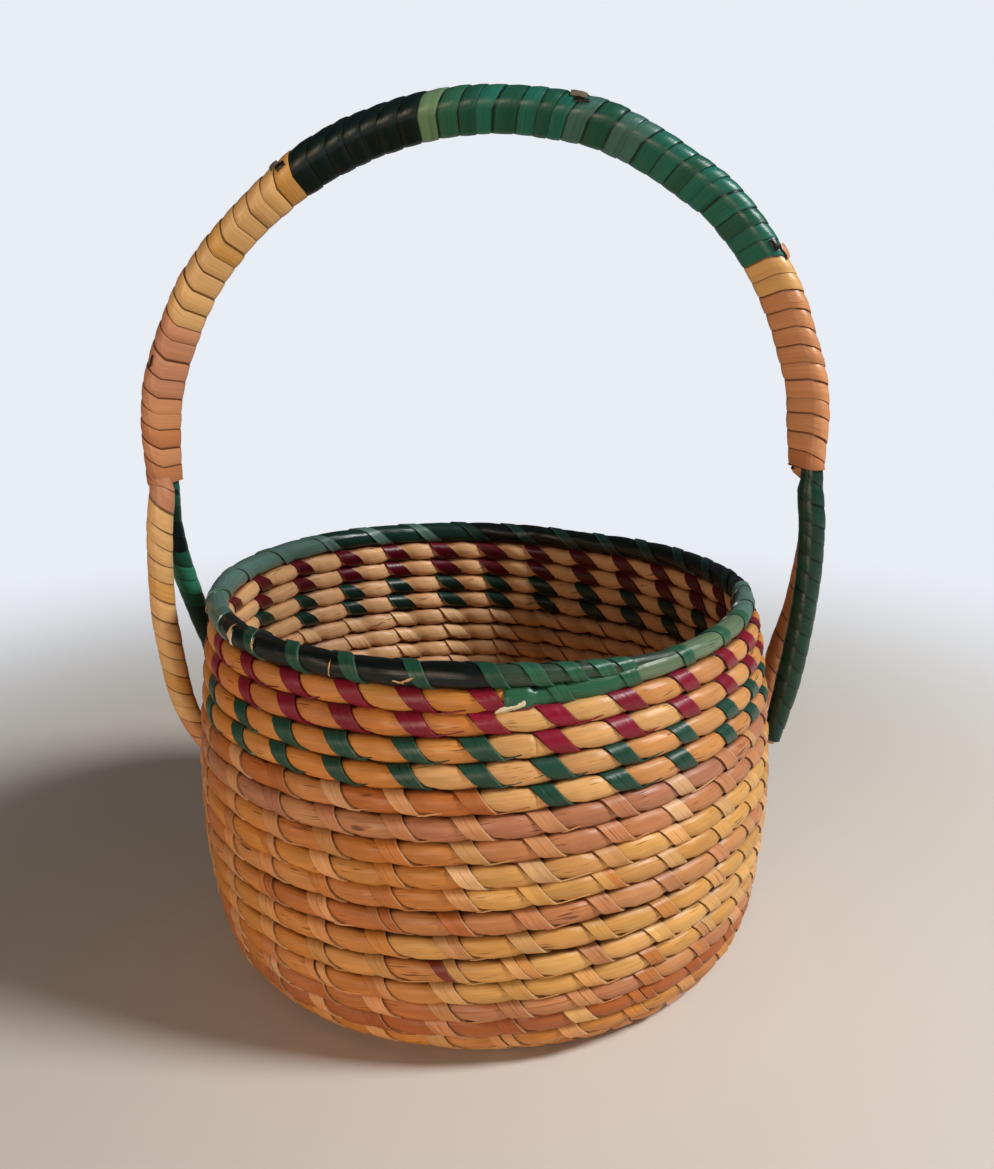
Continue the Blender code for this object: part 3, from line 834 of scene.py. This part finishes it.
def wind_sheath(name, node, upper, lower, stitching, material):
    """The leaf along the bundle, pinched under each strip and full between two."""
    turns = COIL.turns_along(upper, lower, SHEATH_COLUMN)
    frames = [COIL.frame(turn) for turn in turns]
    spans = {}

    def spot(u, v):
        turn = turns[v]
        radius = frames[v][3]
        around = (180 + 360 * u / SHEATH_POINTS) % 360
        along = turn * math.tau * radius
        after, share, length = stitching.locate(turn, around, radius)
        gap = min(abs(share), abs(1 - share)) * length
        pinch = SHEATH_PINCH + INSIDE_PINCH * inside_share(around)
        full, slack = INSIDE_REACH if around > 180 and turn > 0 else PINCH_REACH
        lift = -pinch + (pinch + SHEATH_BULGE) * ease((gap - full) / (slack - full))
        lift *= 1 if turn > 0 else RIM_FULLNESS
        spin = math.radians(around)
        row = turn * FINE_WOBBLE_STEP
        rough = Vector((along / FINE_WOBBLE_LENGTH, math.sin(spin) + row, math.cos(spin)))
        lift += noise.noise(rough) * FINE_WOBBLE
        tone = span_tone(turn, spans, after, stitching)
        if turn > RIM_TUCK_TURNS:
            tone = mixed(tone, PALE_INSIDE, INSIDE_PALENESS * inside_share(around))
        place = COIL.surface(turn, around, lift, stitching, frames[v])
        return place, (u / SHEATH_POINTS, along), tone, groove_shade(around, turn)

    mesh = new_leaf_mesh()
    lay_leaf(mesh, SHEATH_POINTS, len(turns) - 1, spot)
    close_tube(mesh)
    make_piece(name, node, mesh, material)


PATTERN_LENGTH = 10  # each strip's pattern starts somewhere in these metres
FLAKE_STEPS = 7
FLAKE_RAGGED = 0.35  # of its width
FLAKE_ACROSS = 2
FLAKE_POINT = 0.02  # share of a half turn left off at its ends, so that they aren't needles
FLAKE_BLUNTNESS = 0.5
FLAKE_LIFT = 0.00075
FLAKE_EDGE = 0.55
FLAKE_PRINT = (0.2, 0.6)  # where its pattern starts and how much it shows, shares of a strip's width
PAIR_WIDTH = 0.56
PAIR_SHIFT = 0.0023
SLIVER_SHARE = 0.5
SLIVER_START = 0.0052  # right of the strip's middle
SLIVER_LENGTH = (0.006, 0.014)
SLIVER_WIDTH = (0.0006, 0.0012)
SLIVER_AROUND = 128
SLIVER_SLANT = 22
ODD_STRIPS = (11.04, 14.77)  # turns of two strips that the weaver took from a maroon leaf
HALF_COLUMN = 0.018
STITCH_JITTER = 0.0006
WIDTH_JITTER = 0.09
LIFT_JITTER = 0.00012
# share of the painted groove shade that falls on a strip
UNDER_SHADE = 0.5


def lay_stitch(mesh, stitching, turn, tone, inside, wide=1, shift=0):
    """One strip round the bundle, its edges sunk in the sheath and its right side proud."""
    shift += chance.uniform(-STITCH_JITTER, STITCH_JITTER)
    wide *= 1 + chance.uniform(-WIDTH_JITTER, WIDTH_JITTER)
    proud = chance.uniform(-LIFT_JITTER, LIFT_JITTER)
    light = 1 + chance.uniform(-STRIP_TONE_JITTER, STRIP_TONE_JITTER)
    colour = tuple(channel * light for channel in tone[:3]) + (1,)
    start = chance.uniform(0, PATTERN_LENGTH)
    radius = COIL.frame(turn)[3]
    last = len(STITCH_LINES) - 1

    def spot(u, v):
        around = stitching.stops[v]
        line = STITCH_LINES[u]
        offset = between(stitching.path, around) + shift
        offset += (line - 0.5) * between(stitching.width, around) * wide
        here = turn - offset / (math.tau * radius)
        lift = STITCH_LIFTS[u] + (proud if 0 < u < last else 0)
        if around > 180:
            lift -= INSIDE_PINCH
        place = COIL.surface(here, around, lift, stitching)
        # Painted shade: part of the groove's shade, and full shade at the strip's two sunk edges
        dark = groove_shade(around, turn) * UNDER_SHADE if 0 < u < last else 1
        # Towards the inside a strip leans to the given colour: the pale inside for natural leaf, painted
        # shade for dyed leaf
        own = mixed(colour, inside, inside_share(around)) if inside else colour
        return place, (line, start + around * SHEATH_AROUND / 360), own, dark

    middle = COIL.frame(turn)[0]
    lay_leaf(mesh, last, len(stitching.stops) - 1, spot, middle)
    return colour


def lay_flake(mesh, stitching, turn, colour, around, size, slant, ragged=0):
    """A loose bit of leaf. size is its length along the coil and its width.

    slant is how many degrees round the bundle it rises from its left end to its right.
    """
    length, width = size
    middle, _, _, radius, _ = COIL.frame(turn)
    ends = [1 + chance.uniform(-ragged, ragged) for _ in range(FLAKE_STEPS + 1)]

    def spot(u, v):
        share = v / FLAKE_STEPS
        spread = math.sin(math.pi * (FLAKE_POINT + (1 - 2 * FLAKE_POINT) * share))
        wide = ends[v] * spread ** FLAKE_BLUNTNESS
        offset = (share - 0.5) * length
        at = around - slant * (share - 0.5)
        at += (u / FLAKE_ACROSS - 0.5) * math.degrees(width / SHEATH_HEIGHT) * wide
        lift = FLAKE_LIFT if 0 < u < FLAKE_ACROSS else FLAKE_LIFT * FLAKE_EDGE
        place = COIL.surface(turn - offset / (math.tau * radius), at, lift, stitching)
        return place, (FLAKE_PRINT[0] + FLAKE_PRINT[1] * u / FLAKE_ACROSS, offset), colour, 0

    lay_leaf(mesh, FLAKE_ACROSS, FLAKE_STEPS, spot, middle)


def stitch_rows(
        name, node, upper, lower, stitching, tones, inside, material, wide=1, doubles=0, flakes=()):
    """The strips between two turns. Some are a pair of narrow ones, and some tails fray."""
    mesh = new_leaf_mesh()
    for turn in stitching.turns:
        if not upper <= turn < lower:
            continue
        odd = any(abs(turn - place) < HALF_COLUMN for place in ODD_STRIPS)
        if odd or chance.random() < doubles:
            first = shaded("brown maroon") if odd else tones(turn)
            lay_stitch(mesh, stitching, turn, first, inside, wide * PAIR_WIDTH, -PAIR_SHIFT)
            colour = lay_stitch(mesh, stitching, turn, tones(turn), inside, wide * PAIR_WIDTH, PAIR_SHIFT)
        else:
            colour = lay_stitch(mesh, stitching, turn, tones(turn), inside, wide)
        if turn > 0 and chance.random() < SLIVER_SHARE:
            reach = chance.uniform(*SLIVER_LENGTH)
            radius = COIL.frame(turn)[3]
            start = turn - (SLIVER_START + reach / 2) / (math.tau * radius)
            size = (reach, chance.uniform(*SLIVER_WIDTH))
            lay_flake(mesh, stitching, start, colour, SLIVER_AROUND, size, SLIVER_SLANT)
    for turn, around, tone, length, width, slant in flakes:
        lay_flake(mesh, stitching, turn, shaded(tone), around, (length, width), slant, FLAKE_RAGGED)
    make_piece(name, node, mesh, material, crisp=True)


OTHER_STRIPS = (
    "peach", "peach", "peach", "pale honey", "pale honey", "peach", "pale", "rosy tan", "tan")
OTHER_STRIP_SHARE = 0.7
OTHER_TONE_LEAN = (0.35, 0.95)


def natural_tone(turn):
    """Three strips in ten match the leaf beside them, the others lean to another tone."""
    own = shaded(leaf_tone(turn))
    if chance.random() < OTHER_STRIP_SHARE:
        return mixed(own, shaded(chance.choice(OTHER_STRIPS)), chance.uniform(*OTHER_TONE_LEAN))
    return own


BRIGHT_BANDS_END = -0.66  # turns: past here a band on black leaf is a dull teal


def band_tone(turn):
    """The rim's bands go with the leaf under them."""
    band = {
        "rim black": "rim band" if turn < BRIGHT_BANDS_END else "rim teal",
        "rim grey green": "rim grey green",
        "rim teal": "rim grey green",
    }.get(leaf_tone(turn), "rim green")
    return shaded(band)


PAIR_SHARE = 0.22
DYE_INSIDE_SHADE = 0.3  # painted shade: a dyed strip darkens towards the inside of the basket
# Torn and scuffed places of the rim: turn, degrees round the bundle, tone, length, width and slant
RIM_FLAKES = (
    (0.0115, 116, "cream", 0.0100, 0.0056, 30),
    (-0.0030, 150, "pale", 0.0050, 0.0020, 10),
    (-0.8225, 58, "pale", 0.0024, 0.0062, 40),
    (-0.8240, 88, "cream", 0.0034, 0.0050, 60),
    (-0.8470, 70, "pale", 0.0012, 0.0046, 0),
    (-0.9400, 96, "pale", 0.0056, 0.0008, 25),
    (-0.9360, 104, "pale", 0.0040, 0.0007, -10),
    (-0.9000, 85, "pale", 0.0010, 0.0040, 60),
    (-0.7700, 90, "pale", 0.0070, 0.0030, 20),
)


def dress_basket():
    for name, node, upper, lower in (
        ("base_sheath", "base_coil", BASE_TURNS, COIL.last),
        ("wall_sheath_natural", "wall_coil_natural", GREEN_BAND_TURNS, BASE_TURNS),
        ("wall_sheath_green_band", "wall_coil_green_band", MAROON_BAND_TURNS, GREEN_BAND_TURNS),
        ("wall_sheath_maroon_band", "wall_coil_maroon_band", RIM_TUCK_TURNS, MAROON_BAND_TURNS),
    ):
        wind_sheath(name, node, upper, lower, WALL_STITCHES, NATURAL_SHEATH)
    wind_sheath("rim_sheath", "rim_coil", -RIM_TURNS, RIM_TUCK_TURNS, RIM_BANDS, GREEN_SHEATH)
    stitch_rows(
        "base_stitches", "base_coil", BASE_TURNS, COIL.last, WALL_STITCHES, natural_tone, PALE_INSIDE,
        NATURAL_STRIP)
    stitch_rows(
        "wall_stitches_natural", "wall_coil_natural", GREEN_BAND_TURNS, BASE_TURNS, WALL_STITCHES,
        natural_tone, PALE_INSIDE, NATURAL_STRIP, NATURAL_WIDTH, PAIR_SHARE)
    stitch_rows(
        "wall_stitches_green", "wall_coil_green_band", MAROON_BAND_TURNS, GREEN_BAND_TURNS, WALL_STITCHES,
        lambda turn: shaded("deep green"), shaded("deep green", DYE_INSIDE_SHADE), GREEN_STRIP)
    stitch_rows(
        "wall_stitches_maroon", "wall_coil_maroon_band", 0, MAROON_BAND_TURNS, WALL_STITCHES,
        lambda turn: shaded("maroon"), shaded("maroon", DYE_INSIDE_SHADE), MAROON_STRIP)
    stitch_rows(
        "rim_bands", "rim_coil", -RIM_TURNS, 0, RIM_BANDS, band_tone, None, GREEN_STRIP, flakes=RIM_FLAKES)


KNOT_LAP = 0.0006
KNOT_POINTS = 28
KNOT_RINGS = 14
KNOT_FULLNESS = 0.6
KNOT_GROOVE = 6  # how close to its edge the shade gathers
BUNDLE_SIDE = 90  # degrees from the bundle's top to its side, where no shade gathers


def make_start_knot():
    """The folded start of the bundle fills the hole that the last turn leaves, and bulges a little."""
    _, centre_height = COIL.profile(COIL.last)
    tone = shaded("pale honey")

    def spot(u, v):
        back = (1 - u / KNOT_POINTS) % 1
        turn = COIL.last - back
        outline = COIL.profile(turn if back else COIL.last - 1)[0] - SHEATH_HEIGHT + KNOT_LAP
        azimuth = COIL.azimuth(turn)
        spin = math.pi * v / KNOT_RINGS
        reach = outline * max(math.sin(spin), 0) ** KNOT_FULLNESS
        level = math.copysign(abs(math.cos(spin)) ** KNOT_FULLNESS, math.cos(spin)) * BASE_DEPTH
        place = Vector((reach * math.cos(azimuth), reach * math.sin(azimuth), centre_height + level))
        dark = groove_shade(BUNDLE_SIDE * (1 + math.sin(spin) ** KNOT_GROOVE))
        return place, (v / KNOT_RINGS, back * outline * math.tau), tone, dark

    mesh = new_leaf_mesh()
    lay_leaf(mesh, KNOT_POINTS, KNOT_RINGS, spot)
    close_tube(mesh)
    make_piece("start_knot", "base_start_knot", mesh, NATURAL_SHEATH)


class Handle:
    """Routes of the two rods, as in the part's source."""

    def __init__(self):
        widest = max(radius for _, radius, _ in COIL.rows)
        self.arch_radius = widest + ARCH_STAND_OFF
        _, rim_height = COIL.profile(0)
        self.centre_height = rim_height + ARCH_RISE
        apart = 2 * ROD_RADIUS + ROD_GAP
        self.depth_step = math.sqrt(apart ** 2 - ROD_LEVEL_STEP ** 2)

    def end_angle(self, side):
        """Where the arch ends, at the left for side -1 and at the right for 1."""
        return -ARCH_DROP if side > 0 else math.pi + ARCH_DROP

    def arch_point(self, rod, angle):
        """rod is -1 for the front rod, which lies further out, and 1 for the rear one."""
        degrees = math.degrees(angle)
        radius = self.arch_radius + between(ARCH_BUMPS, degrees)
        radius -= rod * ROD_LEVEL_STEP / 2 * between(ARCH_LEVELS, degrees)
        return Vector((
            ARCH_SHIFT + ARCH_LEAN * math.sin(angle) + radius * math.cos(angle),
            rod * self.depth_step / 2,
            self.centre_height + radius * math.sin(angle),
        ))

    def foot_point(self, side, azimuth_back):
        azimuth = azimuth_back if side > 0 else math.pi - azimuth_back
        turn = (RIM_START_AZIMUTH - azimuth) / math.tau
        turn += round(FOOT_TURNS - turn)
        radius, _ = COIL.profile(turn)
        radius += COIL_FLAT + SEAT_GAP + ROD_RADIUS * TIP_SHARE
        _, height = COIL.profile(FOOT_TURNS)
        return Vector((radius * math.cos(azimuth), radius * math.sin(azimuth), height))

    def leg_point(self, rod, side, share):
        """A cubic curve from the arch's end, at share 0, to the leg's tip, at share 1."""
        start = self.arch_point(rod, self.end_angle(side))
        foot = self.foot_point(side, FEET[rod, side])
        length = (foot - start).length
        down = Vector((side * START_LEAN, REAR_SPLAY if rod > 0 else 0, -1))
        outwards = Vector((foot.x, foot.y, 0)).normalized()
        up = Vector((outwards.x * FOOT_LEAN, outwards.y * FOOT_LEAN, 1)).normalized()
        first = start + down * length * START_PULL_SHARE
        second = foot + up * length * FOOT_PULL_SHARE
        rest = 1 - share
        return (
            start * rest ** 3
            + first * 3 * rest ** 2 * share
            + second * 3 * rest * share ** 2
            + foot * share ** 3
        )

    def arch_distance(self, angle):
        """The way along the arch from its left end."""
        return (math.pi + ARCH_DROP - angle) * self.arch_radius

    def arch_place(self, distance):
        """Middles of the rods, their direction and the leaf's extra thickness, from the left end."""
        angle = math.pi + ARCH_DROP - distance / self.arch_radius
        tangent = Vector((math.sin(angle), 0, -math.cos(angle)))
        plump = between(ARCH_PLUMP, math.degrees(angle))
        return [self.arch_point(-1, angle), self.arch_point(1, angle)], tangent, plump

    def leg_route(self, rod, side):
        """A leg from inside the arch's end down to its tip. Each real one is bent in its own way."""
        points = []
        shifts = LEG_SHIFTS[rod, side]
        for index in range(LEG_LEAD_STEPS):
            share = 1 - index / LEG_LEAD_STEPS
            shift = between(shifts, 0) * ease(LEAD_SHIFT_PACE * (1 - share))
            angle = self.end_angle(side) + side * LEG_LEAD * share
            points.append(self.arch_point(rod, angle) + Vector((shift, 0, 0)))
        for index in range(LEG_SAMPLES + 1):
            share = index / LEG_SAMPLES
            points.append(self.leg_point(rod, side, share) + Vector((between(shifts, share), 0, 0)))
        return Route(points, LEG_PLUMP[rod, side])

    def rod_route(self, rod):
        """The whole rod, from its left tip to its right one."""
        start = self.end_angle(-1) - LEG_LEAD
        sweep = start - self.end_angle(1) - LEG_LEAD
        arch = [
            self.arch_point(rod, start - sweep * index / ARCH_SAMPLES)
            for index in range(1, ARCH_SAMPLES)
        ]
        return Route(self.leg_route(rod, -1).points[::-1] + arch + self.leg_route(rod, 1).points)


class Route:
    """A smooth line of points, read by the distance along it."""

    def __init__(self, points, plump=0):
        self.points = points
        self.plump = plump
        self.distances = [0]
        for first, second in zip(points, points[1:]):
            self.distances.append(self.distances[-1] + (second - first).length)
        self.length = self.distances[-1]

    def point(self, distance):
        distance = min(max(distance, 0), self.length)
        place = min(max(bisect_left(self.distances, distance), 1), len(self.points) - 1)
        low, high = self.distances[place - 1], self.distances[place]
        return self.points[place - 1].lerp(self.points[place], (distance - low) / (high - low))

    def place(self, distance):
        """As arch_place, with the one rod's middle given twice."""
        middle = self.point(distance)
        ahead = self.point(distance + ROUTE_REACH)
        behind = self.point(distance - ROUTE_REACH)
        plump = self.plump * ease((distance - PLUMP_START) / PLUMP_START)
        plump -= TIP_THINNING * ease(1 - (self.length - distance) / TIP_THINNING_START)
        return [middle, middle], (ahead - behind).normalized(), plump


HANDLE = Handle()
ONE_CENTRE = 0.0004  # two middles nearer than this are one rod's


def hull_point(centres, tangent, angle, radius):
    """A point of the loop round one rod, or round two side by side."""
    across = centres[1] - centres[0]
    if across.length < ONE_CENTRE:
        across = Vector((0, 1, 0))
    across = (across - tangent * across.dot(tangent)).normalized()
    over = tangent.cross(across)
    centre = centres[1] if math.cos(angle) > 0 else centres[0]
    return centre + (across * math.cos(angle) + over * math.sin(angle)) * radius


LOOPS_PER_SEED = 1000
DRIFT_SEED = 1
LIFT_SEED = 2
TONE_SEED = 3
SLANT_SEED = 4


def loop_chance(seed, loop):
    """The same share from -1 to 1 each time for one loop, so that windings join smoothly."""
    return random.Random(seed * LOOPS_PER_SEED + loop).uniform(-1, 1)


def blended(seed, loop, low, high):
    """A value from low to high that changes smoothly from one loop to the next."""
    first = math.floor(loop)
    share = loop - first
    swing = loop_chance(seed, first) * (1 - share) + loop_chance(seed, first + 1) * share
    return low + (high - low) * (swing + 1) / 2


# Where a new leaf of the arch starts: its torn end, and a dark patch of painted shadow for the gap beside
# it. The winding, degrees along the arch and round the rods, then length along the rod, reach round it and
# tone
LEAF_ENDS = (
    ("arch_wrap_left_upper", 126.4, 162, 0.0040, 44, "grey brown"),
    ("arch_wrap_left_upper", 125.6, 194, 0.0040, 26, "shadow"),
    ("arch_wrap_middle_green", 76.8, 162, 0.0062, 42, "grey brown"),
    ("arch_wrap_middle_green", 76.2, 194, 0.0058, 16, "shadow"),
    ("arch_wrap_teal_green", 37.0, 202, 0.0050, 30, "shadow"),
    ("arch_wrap_right_upper", 35.0, 160, 0.0062, 40, "pinkish tan"),
    ("arch_wrap_left_lower", 163.6, 196, 0.0050, 9, "shadow"),
)
LEAF_END_LIFT = 0.0011
LEAF_END_STEPS = 4
LEAF_END_RAGGED = 0.2
LEAF_END_PRINT = (0.3, 0.4)  # as for a flake


def lay_leaf_end(mesh, arch_degrees, round_degrees, length, reach, tone):
    """A torn end of leaf, or a patch of painted shadow for the gap beside it, on top of the arch's
    windings.
    """
    middle_distance = HANDLE.arch_distance(math.radians(arch_degrees))

    def spot(u, v):
        distance = middle_distance + (v / LEAF_END_STEPS - 0.5) * length
        centres, tangent, plump = HANDLE.arch_place(distance)
        ragged = 1 + blended(round(arch_degrees), v, -LEAF_END_RAGGED, LEAF_END_RAGGED)
        angle = math.radians(round_degrees + (u / LEAF_END_STEPS - 0.5) * reach * ragged)
        edge = u in (0, LEAF_END_STEPS) or v in (0, LEAF_END_STEPS)
        lift = LEAF_END_LIFT - (WIND_REST if edge else 0)
        lift *= 1 + CORNER_LIFT * max(0, -math.cos(angle))
        point = hull_point(centres, tangent, angle, ROD_RADIUS + WIND_REST + plump + lift)
        print_share = LEAF_END_PRINT[0] + LEAF_END_PRINT[1] * u / LEAF_END_STEPS
        return point, (print_share, distance), shaded(tone), 0

    centres, _, _ = HANDLE.arch_place(middle_distance)
    lay_leaf(mesh, LEAF_END_STEPS, LEAF_END_STEPS, spot, (centres[0] + centres[1]) / 2)


def wind_leaf(node, place, first, last, pitch, limits, tones, material, seed, lift_share=1):
    """Winds a leaf strip along a rod, each loop's right edge lying over the next.

    first and last count the loops of one helix that starts at distance 0, and the leaf
    stays between the two limits.
    """
    steps = (last - first) * WIND_POINTS
    colours = []
    for loop in range(first, last):
        tone = tones[(loop - first) * len(tones) // (last - first)]
        colours.append(shaded(tone, 1 + loop_chance(seed + TONE_SEED, loop) * TONE_JITTER))
    run = math.tau * (ROD_RADIUS + WIND_REST) / WIND_POINTS
    low, high = limits

    def spot(u, v):
        loop = first + v / WIND_POINTS
        line = WIND_LINES[u]
        drift = blended(seed + DRIFT_SEED, loop + line, -WIND_WANDER, WIND_WANDER)
        slant = blended(seed + SLANT_SEED, loop + line, *WIND_SLANT) * math.sin(loop * math.tau)
        distance = (loop + drift + slant + line * WIND_OVERLAP) * pitch
        centres, tangent, plump = place(min(max(distance, low), high))
        angle = -loop * math.tau
        outer = max(0, -math.cos(angle))
        lift = blended(seed + LIFT_SEED, loop, *WIND_LIFT) * lift_share
        lift *= WIND_LIFTS[u] * (1 + CORNER_LIFT * outer * line)
        point = hull_point(centres, tangent, angle, ROD_RADIUS + WIND_REST + plump + lift)
        colour = colours[min(int(v / WIND_POINTS), len(colours) - 1)]
        return point, (line, seed + v * run), colour, WIND_SHADES[u]

    mesh = new_leaf_mesh()
    middle = place(min(max((first + last) / 2 * pitch, low), high))[0]
    lay_leaf(mesh, len(WIND_LINES) - 1, steps, spot, (middle[0] + middle[1]) / 2)
    for winding, *leaf_end in LEAF_ENDS:
        if winding == node:
            lay_leaf_end(mesh, *leaf_end)
    make_piece(node + "_leaf", node, mesh, material, crisp=True)


def make_core(name, rod, node):
    """The cane inside a rod's windings, seen where it is cut at its two tips."""
    route = HANDLE.rod_route(rod)
    count = round(route.length / CORE_STEP)

    def spot(u, v):
        distance = route.length * v / count
        (middle, _), tangent, _ = route.place(distance)
        side = tangent.cross(Vector((0, 1, 0))).normalized()
        other = tangent.cross(side)
        angle = math.tau * u / CORE_POINTS
        end = min(distance, route.length - distance)
        radius = CORE_RADIUS * (TIP_SHARE + (1 - TIP_SHARE) * min(end / CORE_TAPER, 1))
        if end < SLACK:
            radius -= CORE_EDGE
        place = middle + (side * math.cos(angle) + other * math.sin(angle)) * radius
        return place, (u / CORE_POINTS, distance), shaded("cut end"), 0

    mesh = new_leaf_mesh()
    lay_leaf(mesh, CORE_POINTS, count, spot)
    close_tube(mesh)
    make_piece(name, node, mesh, CANE)


# Each winding of the arch, from the left: the angle where it ends, its tones and its leaf
ARCH_WINDINGS = (
    ("arch_wrap_left_lower", math.radians(164),
     ("orange brown", "orange tan", "orange brown", "orange tan", "pinkish tan", "pinkish tan"),
     NATURAL_WIND),
    ("arch_wrap_left_upper", math.radians(125),
     ("pinkish tan", "yellow tan", "yellow tan", "yellow tan", "straw", "yellow tan", "yellow tan",
      "yellow tan", "straw"), NATURAL_WIND),
    ("arch_wrap_dark_green", math.radians(102),
     7 * ("night green",) + ("deep leaf",), GREEN_WIND),
    ("arch_wrap_middle_green", math.radians(72),
     ("lime straw", "lime green", "middle green", "teal", "middle green", "teal", "middle green", "teal",
      "grey teal", "middle green"), GREEN_WIND),
    ("arch_wrap_teal_green", math.radians(36),
     ("grey teal", "teal", "teal", "middle green", "teal", "teal", "middle green", "teal", "teal"),
     GREEN_WIND),
    ("arch_wrap_right_upper", math.radians(14),
     ("pale honey",) + 5 * ("orange tan",), NATURAL_WIND),
    ("arch_wrap_right_lower", ARCH_RIGHT_END,
     ("orange tan", "orange tan", "orange tan", "orange brown", "orange tan"), NATURAL_WIND),
)
# Each winding of a leg: its rod and side, its tones from the arch down and its leaf
LEG_WINDINGS = (
    ("leg_wrap_front_left", -1, -1,
     ("pinkish tan", "yellow tan", "yellow tan", "straw", "yellow tan", "yellow tan", "straw",
      "yellow tan", "orange tan", "orange brown"), NATURAL_WIND),
    ("leg_wrap_rear_left", 1, -1,
     ("middle green", "deep leaf", "night green", "middle green", "bright green", "middle green",
      "deep leaf", "deep leaf", "middle green", "deep leaf", "middle green", "deep leaf"), GREEN_WIND),
    ("leg_wrap_front_right", -1, 1, ("deep leaf",), GREEN_WIND),
    ("leg_wrap_rear_right", 1, 1, ("orange brown",), NATURAL_WIND),
)


def dress_handle():
    make_core("rod_front_core", -1, "handle_rod_front")
    make_core("rod_rear_core", 1, "handle_rod_rear")
    limits = (HANDLE.arch_distance(ARCH_LEFT_END), HANDLE.arch_distance(ARCH_RIGHT_END))
    pitch = ARCH_WIND_PITCH
    first = math.floor(limits[0] / pitch) - 1
    for node, end_angle, tones, material in ARCH_WINDINGS:
        last = round(HANDLE.arch_distance(end_angle) / pitch)
        if end_angle == ARCH_RIGHT_END:
            last += 1
        wind_leaf(node, HANDLE.arch_place, first, last, pitch, limits, tones, material, ARCH_SEED)
        first = last
    for index, (node, rod, side, tones, material) in enumerate(LEG_WINDINGS):
        route = HANDLE.leg_route(rod, side)
        pitch = LEG_WIND_PITCH
        limits = (0, route.length * LEG_WIND_END)
        last = round(limits[1] / pitch) + 1
        seed = LEG_SEED + index * SEEDS_PER_LEG
        wind_leaf(node, route.place, -1, last, pitch, limits, tones, material, seed, LEG_LIFT_SHARE)


FLOOR_SIZE = 6
FLOOR_COLOUR = "#D9D2C8"
FLOOR_ROUGHNESS = 0.9
SKY_COLOUR = "#E9EDF4"
FADE_START = 0.22  # metres from the basket's middle
FADE_END = 0.75
WORLD_COLOUR = "#F4F6FA"
WORLD_STRENGTH = 0.08


def make_stage():
    """A plain pale floor that fades into the background, with no edge in view."""
    mesh = bmesh.new()
    bmesh.ops.create_grid(mesh, x_segments=2, y_segments=2, size=FLOOR_SIZE / 2)
    data = bpy.data.meshes.new("floor")
    mesh.to_mesh(data)
    mesh.free()
    material = bpy.data.materials.new("matt pale floor")
    material.use_nodes = True
    tree = material.node_tree
    shader = tree.nodes["Principled BSDF"]
    shader.inputs["Base Color"].default_value = paint(FLOOR_COLOUR)
    shader.inputs["Roughness"].default_value = FLOOR_ROUGHNESS
    place = add_node(tree, "TexCoord", {}, "Object")
    away = add_node(tree, "VectorMath", {0: place}, "Value", operation="LENGTH")
    fade = add_node(tree, "MapRange", {
        "Value": away, "From Min": FADE_START, "From Max": FADE_END,
    }, interpolation_type="SMOOTHERSTEP")
    camera_ray = add_node(tree, "LightPath", {}, "Is Camera Ray")
    seen = add_node(tree, "Math", {0: fade, 1: camera_ray}, operation="MULTIPLY")
    sky = add_node(tree, "Emission", {"Color": paint(SKY_COLOUR), "Strength": 1})
    both = add_node(tree, "MixShader", {0: seen, 1: shader.outputs[0], 2: sky})
    tree.links.new(both, tree.nodes["Material Output"].inputs["Surface"])
    data.materials.append(material)
    floor = bpy.data.objects.new("floor", data)
    bpy.context.scene.collection.objects.link(floor)


def make_world():
    """Even light from all round, and a pale background where the camera sees it."""
    world = bpy.data.worlds.new("studio")
    bpy.context.scene.world = world
    world.use_nodes = True
    tree = world.node_tree
    light = tree.nodes["Background"]
    light.inputs["Color"].default_value = paint(WORLD_COLOUR)
    light.inputs["Strength"].default_value = WORLD_STRENGTH
    sky = add_node(tree, "Background", {"Color": paint(SKY_COLOUR), "Strength": 1})
    camera_ray = add_node(tree, "LightPath", {}, "Is Camera Ray")
    clear_ray = add_node(tree, "LightPath", {}, "Is Transmission Ray")
    shown = add_node(tree, "Math", {0: camera_ray, 1: clear_ray}, operation="MAXIMUM")
    both = add_node(tree, "MixShader", {0: shown, 1: light.outputs[0], 2: sky})
    tree.links.new(both, tree.nodes["World Output"].inputs["Surface"])


# Each lamp: name, place, size in metres, watts and colour. The two at the front are a little warm
LAMPS = (
    ("key", (1.00, -0.30, 1.02), 0.34, 19, "#FFFFFF"),
    ("front", (-0.40, -1.24, 0.20), 0.62, 7.6, "#FFE6CC"),
    ("fill", (-1.10, -0.60, 0.20), 0.40, 2.0, "#FFE6CC"),
)
LAMP_TARGET = (0, 0, 0.13)


def make_lamps():
    for name, place, size, watts, colour in LAMPS:
        data = bpy.data.lights.new(name, "AREA")
        data.shape = "DISK"
        data.size = size
        data.energy = watts
        data.color = paint(colour)[:3]
        lamp = bpy.data.objects.new(name, data)
        lamp.location = place
        view = Vector(LAMP_TARGET) - Vector(place)
        lamp.rotation_euler = view.to_track_quat("-Z", "Y").to_euler()
        bpy.context.scene.collection.objects.link(lamp)


def make_camera():
    data = bpy.data.cameras.new("photograph")
    data.sensor_fit = "AUTO"
    data.sensor_width = SENSOR
    data.lens = PHOTO_FOCUS * SENSOR / PHOTO_HEIGHT
    data.clip_start = CLIP_NEAR
    camera = bpy.data.objects.new("photograph", data)
    camera.location = CAMERA_PLACE
    camera.rotation_mode = "ZYX"  # rolled before it is tilted
    camera.rotation_euler = (math.pi / 2 - CAMERA_PITCH, 0, CAMERA_ROLL)
    bpy.context.scene.collection.objects.link(camera)
    bpy.context.scene.camera = camera


dress_basket()
make_start_knot()
dress_handle()
make_stage()
make_world()
make_lamps()
make_camera()
bpy.context.scene.view_settings.view_transform = "Standard"
